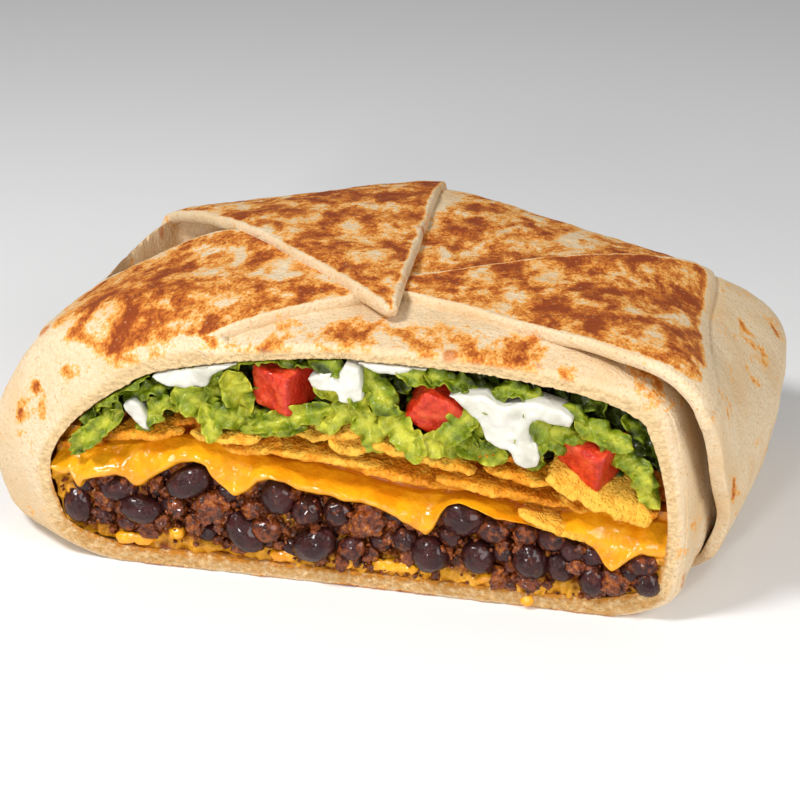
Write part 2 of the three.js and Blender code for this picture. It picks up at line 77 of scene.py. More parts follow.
def mixed(low: Array | float, high: Array | float, share: Array | float) -> Array:
    """Value at a share of the way from low to high."""
    return low + (high - low) * share


def grain(points: Array, size: float, seed: int, octaves: int = 3) -> Array:
    """Smooth random values in space, about -1 to 1.

    Args:
        points: The points.
        size: Size of the largest features.
        seed: Picks a part of the pattern.
        octaves: How many finer patterns are added.

    Returns:
        One value for each point.
    """
    place = np.asarray(points, float) / size + np.array((17.37, 5.13, 9.71)) * seed
    total, strength = np.zeros(place.shape[:-1]), 1.6
    for _ in range(octaves):
        low = np.floor(place).astype(int)
        inside = place - low
        ease = inside**3 * (inside * (inside * 6 - 15) + 10)
        for corner in np.ndindex(2, 2, 2):
            cell = (low + corner) & 255
            index = SHUFFLED[(SHUFFLED[(SHUFFLED[cell[..., 0]] + cell[..., 1]) & 255] + cell[..., 2]) & 255]
            weight = np.abs(1 - np.array(corner) - ease).prod(-1)
            total += strength * weight * ((inside - corner) * SLOPES[index]).sum(-1)
        place, strength = place * 2.03 + 7.7, strength / 2
    return total


def grid_faces(rows: int, columns: int, closed: bool = False, start: int = 0) -> Array:
    """Four-sided faces between the points of a grid.

    Args:
        rows: Rows of points.
        columns: Points in a row.
        closed: Whether a row runs round to its start.
        start: Index of the grid's first point.

    Returns:
        Four point indices for each face.
    """
    across = columns if closed else columns - 1
    row, column = np.meshgrid(np.arange(rows - 1), np.arange(across), indexing="ij")
    after = (column + 1) % columns
    here, there = row * columns, (row + 1) * columns
    faces = np.stack([here + column, here + after, there + after, there + column], -1)
    return faces.reshape(-1, 4) + start


def make_object(name: str, points: Array, faces: Iterable[Sequence[int]]) -> Piece:
    """Makes a smooth-shaded object, with its faces turned outwards.

    Args:
        name: Its name.
        points: The points.
        faces: Each face's point indices.

    Returns:
        The object, at the origin.
    """
    mesh = bpy.data.meshes.new(name)
    places = np.asarray(points, float).reshape(-1, 3) * MM
    mesh.from_pydata(places.tolist(), [], [tuple(map(int, face)) for face in faces])
    built = bmesh.new()
    built.from_mesh(mesh)
    bmesh.ops.recalc_face_normals(built, faces=built.faces)
    built.to_mesh(mesh)
    built.free()
    mesh.shade_smooth()
    made = bpy.data.objects.new(name, mesh)
    bpy.context.scene.collection.objects.link(made)
    return made


def points_of(piece: Piece) -> Array:
    """The piece's points in millimetres.

    Args:
        piece: The object.

    Returns:
        One row for each point.
    """
    values = np.empty(len(piece.data.vertices) * 3, np.float32)
    piece.data.vertices.foreach_get("co", values)
    return values.reshape(-1, 3).astype(float) / MM


def move_points(piece: Piece, points: Array) -> None:
    """Gives the piece's points new places, in millimetres."""
    piece.data.vertices.foreach_set("co", (points * MM).astype(np.float32).ravel())
    piece.data.update()


def store(piece: Piece, name: str, values: Array) -> None:
    """Stores a named number for each point of a piece, for its material to read."""
    held = piece.data.attributes.get(name) or piece.data.attributes.new(name, "FLOAT", "POINT")
    held.data.foreach_set("value", np.asarray(values, np.float32).ravel())


def settle(piece: Piece) -> Piece:
    """Turns a piece's modifiers into plain mesh.

    Args:
        piece: The object with live modifiers.

    Returns:
        The same object.
    """
    bpy.context.view_layer.update()
    graph = bpy.context.evaluated_depsgraph_get()
    evaluated = piece.evaluated_get(graph)
    plain = bpy.data.meshes.new_from_object(evaluated, preserve_all_data_layers=True, depsgraph=graph)
    piece.modifiers.clear()
    piece.data = plain
    return piece


def discard(*pieces: Piece) -> None:
    """Removes helper objects that are no longer needed."""
    for piece in pieces:
        bpy.data.objects.remove(piece)


def remeshed(piece: Piece, voxel: float, smoothing: int) -> Piece:
    """Melts the bodies of a piece into one even skin.

    Args:
        piece: The object, of closed bodies.
        voxel: Size of the even faces.
        smoothing: How many times the skin is relaxed.

    Returns:
        The same object.
    """
    remesh = piece.modifiers.new("melt", "REMESH")
    remesh.mode = "VOXEL"
    remesh.voxel_size = voxel * MM
    remesh.use_smooth_shade = True
    relax = piece.modifiers.new("relax", "SMOOTH")
    relax.factor = 0.5
    relax.iterations = smoothing
    return settle(piece)


# ---------------- shader terms


def operator(name: str, swapped: bool = False) -> Callable[["Term", "Term | float"], "Term"]:
    """A method for one of Python's operators, which adds a Math node.

    Args:
        name: The Math node's operation.
        swapped: Whether the other value comes first.

    Returns:
        The method.
    """

    def applied(term: "Term", other: "Term | float") -> "Term":
        """The result of the operation on a term and a number or term."""
        return term.paint.math(name, *((other, term) if swapped else (term, other)))

    return applied


class Term:
    """A shader socket that Python's operators work on."""

    def __init__(self, paint: "Paint", socket: bpy.types.NodeSocket) -> None:
        """Holds the socket and the tree that it belongs to."""
        self.paint = paint
        self.socket = socket

    __add__ = __radd__ = operator("ADD")
    __sub__ = operator("SUBTRACT")
    __rsub__ = operator("SUBTRACT", swapped=True)
    __mul__ = operator("MULTIPLY")
    __truediv__ = operator("DIVIDE")

    def over(self, low: float, high: float) -> "Term":
        """Eases from 0 at low to 1 at high."""
        inputs = {"Value": self, "From Min": low, "From Max": high}
        return self.paint.term("Result", "ShaderNodeMapRange", {"interpolation_type": "SMOOTHSTEP"}, inputs)


class Paint:
    """One material and the nodes that colour it."""

    def __init__(self, name: str) -> None:
        """Makes a bare material of this name."""
        self.material = bpy.data.materials.new(name)
        self.material.use_nodes = True
        self.tree = self.material.node_tree
        self.shader = self.tree.nodes["Principled BSDF"]
        self.place = self.term("Object", "ShaderNodeTexCoord")

    def feed(self, socket: bpy.types.NodeSocket, value: object) -> None:
        """Links a term to a socket, or sets the socket's own value.

        Args:
            socket: The input to fill.
            value: A term, number, colour or vector.
        """
        if isinstance(value, Term):
            self.tree.links.new(value.socket, socket)
        elif socket.type == "RGBA":
            socket.default_value = (*value, 1.0)
        else:
            socket.default_value = value

    def node(self, kind: str, settings: Settings = None, inputs: Settings = None) -> bpy.types.Node:
        """Adds a node.

        Args:
            kind: The node's type.
            settings: Its settings, and a ramp's stops under "stops".
            inputs: Its sockets' values, by name or index.

        Returns:
            The node.
        """
        made = self.tree.nodes.new(kind)
        for name, value in (settings or {}).items():
            if name == "stops":
                self._set_stops(made.color_ramp, value)
            else:
                setattr(made, name, value)
        for name, value in (inputs or {}).items():
            self.feed(made.inputs[name], value)
        return made

    def term(self, output: str | int, kind: str, *given: Settings) -> Term:
        """An output of a new node, which has the given settings and inputs."""
        return Term(self, self.node(kind, *given).outputs[output])

    @staticmethod
    def _set_stops(ramp: bpy.types.ColorRamp, stops: Sequence[tuple[float, Colour]]) -> None:
        """Gives a new ramp, which has two stops, the place and colour of each stop.

        Args:
            ramp: The ramp.
            stops: Places and colours.
        """
        for _ in range(len(stops) - 2):
            ramp.elements.new(0.5)
        for element, (place, colour) in zip(ramp.elements, stops):
            element.position = place
            element.color = (*colour, 1.0)

    def math(self, operation: str, *values: "Term | float") -> Term:
        """An operation on terms or numbers."""
        return self.term(0, "ShaderNodeMath", {"operation": operation}, dict(enumerate(values)))

    def stored(self, name: str) -> Term:
        """A number stored on the mesh's points."""
        return self.term("Fac", "ShaderNodeAttribute", {"attribute_name": name})

    def axis(self, index: int) -> Term:
        """One coordinate of the shaded point, in millimetres."""
        return self.term(index, "ShaderNodeSeparateXYZ", None, {0: self.place}) / MM

    def moved(self, size: float | Point, seed: float) -> Term:
        """The place, with its axes stretched for a pattern.

        Args:
            size: The pattern's size, along all axes or each.
            seed: Picks a part of the pattern.

        Returns:
            The coordinates, one unit for each size.
        """
        stretch = (size, size, size) if isinstance(size, (int, float)) else size
        scale = tuple(1.0 / (MM * size) for size in stretch)
        inputs = {0: self.place, 1: scale, 2: (seed, seed * 1.7, seed * 0.6)}
        return self.term(0, "ShaderNodeVectorMath", {"operation": "MULTIPLY_ADD"}, inputs)

    def noise(
        self,
        size: float | Point,
        seed: float = 0.0,
        detail: float = 3.0,
        rough: float = 0.5,
        twist: float = 0.0,
    ) -> Term:
        """A cloudy pattern, from 0 to 1 with a middle of 0.5.

        Args:
            size: Size of its largest features, along all axes or each.
            seed: Picks a part of the pattern.
            detail: How many finer patterns are added.
            rough: How strong these are.
            twist: How much it is distorted.

        Returns:
            The pattern.
        """
        inputs = {"Vector": self.moved(size, seed), "Scale": 1.0}
        inputs |= {"Detail": detail, "Roughness": rough, "Distortion": twist}
        return self.term(0, "ShaderNodeTexNoise", None, inputs)

    def cells(self, size: float | Point, seed: float = 0.0) -> Term:
        """Distance from the nearest of many scattered points, in cell sizes."""
        inputs = {"Vector": self.moved(size, seed), "Scale": 1.0}
        return self.term("Distance", "ShaderNodeTexVoronoi", None, inputs)

    def ramp(self, value: Term, stops: Sequence[tuple[float, Colour]]) -> Term:
        """Colour by value, from the place and colour of each stop."""
        return self.term("Color", "ShaderNodeValToRGB", {"stops": stops}, {0: value})

    def blend(self, share: Term, low: "Term | Colour", high: "Term | Colour") -> Term:
        """Colour at a share of the way from low to high."""
        return self.term(2, "ShaderNodeMix", {"data_type": "RGBA"}, {0: share, 6: low, 7: high})

    def relief(self, *layers: tuple[Term, float]) -> Term:
        """Bumps from patterns, each with its height in millimetres.

        Args:
            layers: The patterns and their heights.

        Returns:
            The normal.
        """
        first, *others = (pattern * height for pattern, height in layers)
        inputs = {"Height": sum(others, first), "Distance": MM, "Strength": 1.0}
        return self.term(0, "ShaderNodeBump", None, inputs)

    def finish(
        self,
        colour: "Term | Colour",
        roughness: "Term | float",
        *layers: tuple[Term, float],
        specular: float = 0.5,
        soft: tuple[float, Colour, float] | None = None,
        coat: Pair | None = None,
    ) -> Material:
        """Fills the surface shader.

        Args:
            colour: Its base colour.
            roughness: Its roughness.
            layers: Patterns of its bumps, each with its height in millimetres.
            specular: Its specular level.
            soft: Weight, colour and reach in millimetres of the light inside it.
            coat: Weight and roughness of a wet coat.

        Returns:
            The finished material.
        """
        sockets = {"Base Color": colour, "Roughness": roughness, "Specular IOR Level": specular}
        if layers:
            sockets["Normal"] = self.relief(*layers)
        if soft:
            names = ("Subsurface Weight", "Subsurface Radius", "Subsurface Scale")
            sockets |= zip(names, (soft[0], soft[1], soft[2] * MM))
        if coat:
            sockets |= {"Coat Weight": coat[0], "Coat Roughness": coat[1]}
        for name, value in sockets.items():
            self.feed(self.shader.inputs[name], value)
        return self.material


# ---------------- finishes


@dataclass(frozen=True)
class ToastedTortilla:
    """Soft wheat tortilla: grill patches, and painted shade in the pocket, by the points' "toast", a porous
    cut by their "crumb".
    """

    cream: Colour = (0.80, 0.64, 0.43)
    warm: Colour = (0.74, 0.52, 0.29)
    tan: Colour = (0.56, 0.32, 0.13)
    light: Colour = (0.88, 0.47, 0.15)
    golden: Colour = (0.80, 0.33, 0.060)
    brown: Colour = (0.56, 0.155, 0.022)
    dark: Colour = (0.29, 0.056, 0.012)
    pale_crumb: Colour = (0.74, 0.53, 0.28)
    # Baked crumb colour, also used as painted shade in the pores.
    baked_and_shaded_crumb: Colour = (0.54, 0.29, 0.09)
    stain: Colour = (0.50, 0.19, 0.018)
    patch: float = 7.5
    spot_gap: Point = (14.0, 14.0, 23.0)

    def toasted(self, paint: Paint) -> tuple[Term, Term]:
        """The skin's colour and how deeply it is browned.

        Args:
            paint: The material.

        Returns:
            The colour, and the depth from 0 to 1.
        """
        toast = paint.stored("toast")
        broad = paint.noise((self.patch, self.patch * 1.5, self.patch), 1, 2, 0.5, 0.5)
        middle = paint.noise((2.6, 4, 2.5), 4, 4, 0.62)
        fine = paint.noise((0.6, 1, 0.6), 8, 3, 0.7)
        depth = toast * 0.68 + (broad - 0.5) * 2.2 + (middle - 0.5) * 1.3 + (fine - 0.5) * 1.0
        cloud = paint.noise(14, 3, 3)
        base = paint.blend(cloud.over(0.35, 0.7), self.cream, self.warm)
        base = paint.blend(fine.over(0.46, 0.62) * 0.8, base, self.warm)
        stops = [(0.30, self.warm), (0.42, self.light), (0.55, self.golden)]
        stops += [(0.72, self.brown), (0.97, self.dark)]
        colour = paint.blend(depth.over(0.28, 0.38), base, paint.ramp(depth, stops))
        specks = 1 - paint.cells(1.7, 5).over(0.08, 0.2)
        colour = paint.blend(specks * 0.7, colour, self.tan)
        spots = 1 - (paint.cells(self.spot_gap, 2.5) + (middle - 0.5) * 0.16).over(0.06, 0.14)
        return paint.blend(spots * (0.35 + fine * 0.9), colour, self.brown), depth

    def cut(self, paint: Paint) -> tuple[Term, Term]:
        """Colour of the cut face and how much it is soaked with sauce.

        Args:
            paint: The material.

        Returns:
            The colour, and the soaking from 0 to 1.
        """
        across, height = paint.stored("across"), paint.axis(2)
        pores = paint.cells((0.8, 0.7, 0.6), 2)
        cloud = paint.noise(1.3, 3, 4, 0.65)
        low = 1 - height.over(4, 12)
        colour = paint.blend((cloud * 0.8 + low * 0.2).over(0.40, 0.72), self.pale_crumb, self.baked_and_shaded_crumb)
        # Painted shade: the pores are dark dots of the baked colour, stronger low on the cut.
        colour = paint.blend((1 - pores.over(0.05, 0.3)) * (0.2 + low * 0.35), colour, self.baked_and_shaded_crumb)
        soaked = (1 - across.over(0, 0.4)) * (1 - height.over(12, 24)) * cloud.over(0.3, 0.56)
        return paint.blend(soaked, colour, self.stain), soaked

    def material(self) -> Material:
        """Makes the material.

        Returns:
            The material.
        """
        paint = Paint("toasted_tortilla")
        crumb = paint.stored("crumb")
        skin, depth = self.toasted(paint)
        inside, soaked = self.cut(paint)
        fine = paint.noise(0.7, 6, 3, 0.65)
        pits = paint.noise(2, 7, 2, 0.6)
        porous = paint.cells((0.8, 0.6, 0.6), 9)
        colour = paint.blend(crumb, skin, inside)
        roughness = 0.78 - depth.over(0.4, 0.8) * (1 - crumb) * 0.16 - soaked * crumb * 0.4
        layers = (fine, 0.46), (pits, 0.42), (depth.over(0.3, 0.9), -0.10), (porous * crumb, 0.22)
        return paint.finish(colour, roughness, *layers, specular=0.12, soft=(0.05, (1.0, 0.5, 0.25), 0.8))


@dataclass(frozen=True)
class BeanSkin:
    """Glossy black beans, some of them browner, by the points' "tone"."""

    black: Colour = (0.026, 0.006, 0.005)
    purple: Colour = (0.058, 0.013, 0.012)
    brown: Colour = (0.22, 0.050, 0.010)

    def material(self) -> Material:
        """Makes the material.

        Returns:
            The material.
        """
        paint = Paint("bean_skin")
        tone = paint.stored("tone")
        cloud = paint.noise(3.2, 1, 3)
        colour = paint.blend(cloud.over(0.4, 0.72), self.black, self.purple)
        smear = paint.noise(1.7, 2, 4, 0.65)
        colour = paint.blend((smear + tone * 0.45).over(0.62, 0.86), colour, self.brown)
        wrinkles = paint.noise(0.8, 3, 3, 0.6)
        layers = (wrinkles, 0.26), (smear, 0.3)
        return paint.finish(colour, 0.12 + smear * 0.2, *layers, specular=0.17, coat=(0.42, 0.04))


@dataclass(frozen=True)
class Crumble:
    """Seasoned brown crumbles, wet with sauce."""

    dark: Colour = (0.050, 0.011, 0.004)
    red: Colour = (0.23, 0.046, 0.007)
    orange: Colour = (0.60, 0.20, 0.014)

    def material(self) -> Material:
        """Makes the material.

        Returns:
            The material.
        """
        paint = Paint("seasoned_crumble")
        cloud = paint.noise(1.5, 1, 4, 0.65)
        colour = paint.ramp(cloud, [(0.38, self.dark), (0.56, self.red), (0.76, self.orange)])
        grit = paint.noise(0.8, 3, 4, 0.7)
        return paint.finish(colour, 0.2, (grit, 0.42), specular=0.22, coat=(0.5, 0.05))


@dataclass(frozen=True)
class Sauce:
    """Brown-orange sauce with granules that soaks the filling."""

    dark: Colour = (0.055, 0.013, 0.005)
    brown: Colour = (0.28, 0.065, 0.008)
    orange: Colour = (0.74, 0.33, 0.015)

    def material(self) -> Material:
        """Makes the material.

        Returns:
            The material.
        """
        paint = Paint("bean_sauce")
        golden = paint.stored("golden")
        cloud = paint.noise(3.5, 1, 4, 0.6)
        stops = [(0.38, self.dark), (0.52, self.brown), (0.72, self.orange)]
        colour = paint.ramp(cloud + golden * 0.35, stops)
        grit = paint.noise(0.9, 3, 4, 0.7)
        return paint.finish(colour, 0.22, (grit, 0.5), specular=0.25, coat=(0.3, 0.06))


@dataclass(frozen=True)
class MeltedCheese:
    """Glossy golden-orange cheese."""

    gold: Colour = (0.88, 0.39, 0.008)
    deep: Colour = (0.74, 0.26, 0.004)

    def material(self) -> Material:
        """Makes the material.

        Returns:
            The material.
        """
        paint = Paint("melted_cheese")
        cloud = paint.noise(5, 1, 3)
        colour = paint.blend(cloud.over(0.35, 0.7), self.gold, self.deep)
        ripples = paint.noise((2.4, 2.4, 1.8), 2, 2, 0.5)
        layers = (ripples, 0.55), (paint.noise(0.8, 3, 3), 0.10)
        soft = 0.06, (1.0, 0.45, 0.05), 1.2
        return paint.finish(colour, 0.2, *layers, specular=0.3, soft=soft, coat=(0.5, 0.05))


@dataclass(frozen=True)
class FriedCorn:
    """Rough golden corn chips, deeper in colour by the points' "tone"."""

    light: Colour = (0.92, 0.50, 0.055)
    gold: Colour = (0.82, 0.31, 0.012)
    deep: Colour = (0.60, 0.18, 0.006)

    def material(self) -> Material:
        """Makes the material.

        Returns:
            The material.
        """
        paint = Paint("fried_corn")
        tone = paint.stored("tone")
        cloud = paint.noise(3.4, 1, 4, 0.6)
        flecks = paint.noise(0.7, 2, 3, 0.6)
        value = cloud * 0.7 + flecks * 0.3 + (tone - 0.5) * 0.28
        colour = paint.ramp(value, [(0.38, self.light), (0.52, self.gold), (0.68, self.deep)])
        grit = 1 - paint.cells(0.8, 3).over(0.1, 0.5)
        layers = (grit, 0.24), (flecks, 0.6)
        return paint.finish(colour, 0.44, *layers, specular=0.28, soft=(0.04, (1.0, 0.4, 0.1), 1.0))


@dataclass(frozen=True)
class FreshLeaf:
    """Bright lettuce, paler at its ribs by the points' "rib", with painted shade that darkens it behind the
    cut.
    """

    cut: float = -42.0
    dark: Colour = (0.030, 0.046, 0.002)
    green: Colour = (0.175, 0.235, 0.005)
    pale: Colour = (0.56, 0.54, 0.040)

    def material(self) -> Material:
        """Makes the material.

        Returns:
            The material.
        """
        paint = Paint("fresh_leaf")
        rib = paint.stored("rib")
        cloud = paint.noise(4.5, 1, 3)
        veins = paint.cells(2.2, 2)
        # Painted shade: lettuce further behind the cut is darkened.
        shade = (paint.axis(1) - self.cut).over(0.5, 4.5)
        value = cloud * 0.75 + rib * 0.5 - veins * 0.12 - shade * 0.22
        colour = paint.ramp(value, [(0.32, self.dark), (0.52, self.green), (0.84, self.pale)])
        crinkle = paint.noise(1.1, 3, 3, 0.6)
        layers, soft = ((crinkle, 0.65), (veins, 0.5)), (0.05, (0.5, 1.0, 0.1), 0.6)
        return paint.finish(colour, 0.3, *layers, specular=0.3, soft=soft, coat=(0.2, 0.07))


@dataclass(frozen=True)
class TomatoFlesh:
    """Wet tomato, with a darker skin where the points' "skin" is high."""

    flesh: Colour = (0.68, 0.038, 0.009)
    deep: Colour = (0.44, 0.012, 0.003)
    light: Colour = (0.80, 0.12, 0.035)

    def material(self) -> Material:
        """Makes the material.

        Returns:
            The material.
        """
        paint = Paint("tomato_flesh")
        skin = paint.stored("skin")
        cloud = paint.noise(2.6, 1, 4, 0.6)
        colour = paint.ramp(cloud, [(0.35, self.deep), (0.5, self.flesh), (0.72, self.light)])
        colour = paint.blend(skin * 0.8, colour, self.deep)
        grains = paint.noise(0.55, 2, 3, 0.65)
        soft = 0.05, (1.0, 0.15, 0.08), 1.0
        return paint.finish(colour, 0.26, (grains, 0.36), specular=0.3, soft=soft, coat=(0.3, 0.06))


@dataclass(frozen=True)
class SmoothCream:
    """Thick white sour cream, with patches of painted shade."""

    white: Colour = (0.72, 0.70, 0.62)
    # Painted shade: the cream's colour as seen in shadow.
    shade: Colour = (0.58, 0.56, 0.46)

    def material(self) -> Material:
        """Makes the material.

        Returns:
            The material.
        """
        paint = Paint("smooth_cream")
        cloud = paint.noise(5, 1, 2)
        # Patches of painted shade, blended in by a cloudy pattern.
        colour = paint.blend(cloud.over(0.4, 0.7), self.white, self.shade)
        waves = paint.noise(3, 2, 2)
        return paint.finish(colour, 0.32, (waves, 0.55), soft=(0.2, (1.0, 0.9, 0.7), 1.5), coat=(0.25, 0.15))


class Finish(Enum):
    """The named finishes of the wrap."""

    TORTILLA = ToastedTortilla()
    BEAN = BeanSkin()
    CRUMBLE = Crumble()
    SAUCE = Sauce()
    CHEESE = MeltedCheese()
    CORN = FriedCorn()
    LEAF = FreshLeaf()
    TOMATO = TomatoFlesh()
    CREAM = SmoothCream()

    @cache
    def material(self) -> Material:
        """The finish's material, made once."""
        return self.value.material()


def dress(piece: Piece, finish: Finish, node: str) -> None:
    """Gives a piece its finish, hangs it under the root and hides the CAD node that it replaces.

    Args:
        piece: The finished mesh object.
        finish: Its finish.
        node: The CAD node that it replaces.
    """
    piece.data.materials.clear()
    piece.data.materials.append(finish.material())
    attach(piece, "root")
    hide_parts(node)
    triangles = sum(len(face.vertices) - 2 for face in piece.data.polygons)
    log.info("%s: %d triangles, %s", piece.name, triangles, finish.name.lower())


# ---------------- the wrap's form


@dataclass(frozen=True)
class Corner:
    """A folded corner of the wrap, seen from the point where its flaps meet."""

    bearing: float
    reach: float
    fold: float
    flatness: float
    belly: float
    belly_height: float
    foot: float


@dataclass(frozen=True)
class WrapForm:
    """Outline, crown and walls of the wrap, as its solids have them.

    The heart is a point well inside its section, as x and z.
    """

    meeting: Pair = (0.0, -18.0)
    heart: Pair = (-2.0, 25.0)
    cut: float = -42.0
    crown_top: float = 53.0
    crown_roll: float = 2 / 3
    sharpness: float = 26.0
    foot_rounding: float = 6.5
    belly_roundness: float = 1.7
    wall: float = 2.5
    top: float = 2.7
    floor: float = 3.6
    corners: tuple[Corner, ...] = (
        Corner(-21.5, 65, 42, 5, 3.5, 18, 1.5),
        Corner(40, 81, 42, 3, 20, 27, 7),
        Corner(92.5, 87, 44.5, 3, 10, 24, 3),
        Corner(138.5, 86.5, 42.5, 2.6, 8, 22, 3),
        Corner(163, 73.5, 40, 2.2, 9, 20, 1),
        Corner(190, 71, 41.5, 2.6, 11, 19, 7.5),
        Corner(268, 50, 40, 3, 13, 12, 13),
    )

    def fold_radius(self, bearing: Array) -> Array:
        """Distance of the fold from the meeting point.

        Args:
            bearing: Directions in degrees.

        Returns:
            The distances.
        """
        angles = np.radians([corner.bearing for corner in self.corners])
        reach = np.array([corner.reach for corner in self.corners])
        x, y = reach * np.cos(angles), reach * np.sin(angles)
        facing_x, facing_y = np.roll(y, -1) - y, x - np.roll(x, -1)
        length = np.hypot(facing_x, facing_y)
        distance = (facing_x * x + facing_y * y) / length
        facing = np.arctan2(facing_y, facing_x)
        turned = np.radians(np.asarray(bearing, float))[..., None] - facing
        share = np.maximum(0.0, np.cos(turned) / distance)
        return (share**self.sharpness).sum(-1) ** (-1.0 / self.sharpness)

    def around(self, bearing: Array, name: str) -> Array:
        """A corner's value carried smoothly round to its neighbours.

        Args:
            bearing: Directions in degrees.
            name: The corner's field.

        Returns:
            The value in each direction.
        """
        first = self.corners[0].bearing
        turned = (np.asarray(bearing, float) - first) % 360.0 + first
        knots = np.array([corner.bearing for corner in self.corners] + [first + 360.0])
        values = np.array([getattr(corner, name) for corner in (*self.corners, self.corners[0])])
        before = np.clip(np.searchsorted(knots, turned, side="right") - 1, 0, len(knots) - 2)
        share = np.clip((turned - knots[before]) / (knots[before + 1] - knots[before]), 0, 1)
        return mixed(values[before], values[before + 1], share * share * (3 - 2 * share))

    def wall_radius(self, bearing: Array, height: Array) -> Array:
        """Distance of the wall from the meeting point.

        Args:
            bearing: Directions in degrees.
            height: The heights.

        Returns:
            The distances.
        """
        fold = self.around(bearing, "fold")
        belly = self.around(bearing, "belly")
        middle = self.around(bearing, "belly_height")
        above = np.clip((height - middle) / (fold - middle), 0, None)
        below = np.clip((middle - height) / middle, 0, None)
        curl = self.foot_rounding * np.maximum(0, 1 - height / self.foot_rounding) ** 2
        narrowing = (belly - self.around(bearing, "foot")) * below**self.belly_roundness
        return self.fold_radius(bearing) + belly * (1 - above**self.belly_roundness) - narrowing - curl

    def crown_at(self, bearing: Array, share: Array) -> Array:
        """Height of the crown at shares of the way from the meeting point to the fold."""
        fold, flatness = self.around(bearing, "fold"), self.around(bearing, "flatness")
        return fold + (self.crown_top - fold) * (1 - np.clip(share, 0, 1) ** flatness) ** self.crown_roll

    def skin(self, bearing: Array, level: Array) -> Array:
        """Points of the outer skin.

        Args:
            bearing: Directions in degrees.
            level: 0 to 1 from the meeting point to the fold, 1 to 2 down the wall.

        Returns:
            The points.
        """
        bearing, level = np.broadcast_arrays(np.asarray(bearing, float), np.asarray(level, float))
        on_crown = level <= 1
        wall_height = self.around(bearing, "fold") * (2 - np.maximum(level, 1))
        height = np.where(on_crown, self.crown_at(bearing, np.minimum(level, 1)), wall_height)
        crown = self.fold_radius(bearing) * level
        radius = np.where(on_crown, crown, self.wall_radius(bearing, wall_height))
        angle = np.radians(bearing)
        x = self.meeting[0] + radius * np.cos(angle)
        y = self.meeting[1] + radius * np.sin(angle)
        return np.stack([x, y, height], -1)

    def polar(self, x: Array, y: Array) -> tuple[Array, Array]:
        """Bearing in degrees and distance of points from the meeting point."""
        across, away = np.asarray(x, float) - self.meeting[0], np.asarray(y, float) - self.meeting[1]
        return np.degrees(np.arctan2(away, across)), np.hypot(across, away)

    def crown_height(self, x: Array, y: Array) -> Array:
        """Height of the crown over points of the plan."""
        bearing, distance = self.polar(x, y)
        return self.crown_at(bearing, distance / self.fold_radius(bearing))

    def inside_skin(self, x: Array, y: Array, z: Array) -> Array:
        """Whether points lie inside the outer skin.

        Args:
            x: Places along the cut.
            y: Places across it.
            z: Heights.

        Returns:
            One truth value for each point.
        """
        bearing, distance = self.polar(x, y)
        above = z > self.around(bearing, "fold")
        under = (z <= self.crown_height(x, y)) & (distance <= self.fold_radius(bearing))
        return (z >= 0) & np.where(above, under, distance <= self.wall_radius(bearing, z))

    def inner(self, points: Array, level: Array, extra: float = 0.0) -> Array:
        """Moves points of the outer skin to the inner one.

        Args:
            points: Points of the outer skin.
            level: Their levels.
            extra: How much deeper the inner skin lies.

        Returns:
            The points.
        """
        offset = points[..., :2] - np.array(self.meeting)
        length = np.linalg.norm(offset, axis=-1, keepdims=True)
        inset = (self.wall + extra) * np.minimum(1, level)[..., None]
        plan = np.array(self.meeting) + offset * np.maximum(0, length - inset) / np.maximum(length, 1e-9)
        floor = self.floor + extra
        squeeze = (self.crown_top - self.top - extra - floor) / self.crown_top
        return np.concatenate([plan, floor + points[..., 2:] * squeeze], -1)

    def inside_hollow(self, x: Array, y: Array, z: Array) -> Array:
        """Whether points lie inside the inner skin.

        Args:
            x: Places along the cut.
            y: Places across it.
            z: Heights.

        Returns:
            One truth value for each point.
        """
        squeeze = (self.crown_top - self.top - self.floor) / self.crown_top
        raw = (z - self.floor) / squeeze
        bearing, distance = self.polar(x, y)
        fold_radius, fold = self.fold_radius(bearing), self.around(bearing, "fold")
        share = distance / (fold_radius - self.wall)
        on_crown = (raw >= fold) & (share <= 1) & (raw <= self.crown_at(bearing, share))
        on_wall = (raw >= 0) & (raw < fold) & (distance + self.wall <= self.wall_radius(bearing, raw))
        return on_crown | on_wall

    def section(self, inside: Curve, angles: Array, back: float = 0.0) -> Array:
        """Outline, at the cut or behind it, of what a test of points finds.

        Args:
            inside: Tells which points lie inside.
            angles: Directions from the heart, in radians.
            back: How far behind the cut it is taken.

        Returns:
            One x and z for each direction.
        """
        low, high = np.zeros(len(angles)), np.full(len(angles), 110.0)
        cut = np.full(len(angles), self.cut + back)
        (x, z), toward_x, toward_z = self.heart, np.cos(angles), np.sin(angles)
        for _ in range(30):
            middle = (low + high) / 2
            held = inside(x + middle * toward_x, cut, z + middle * toward_z)
            low, high = np.where(held, middle, low), np.where(held, high, middle)
        return np.stack([x + low * toward_x, z + low * toward_z], -1)


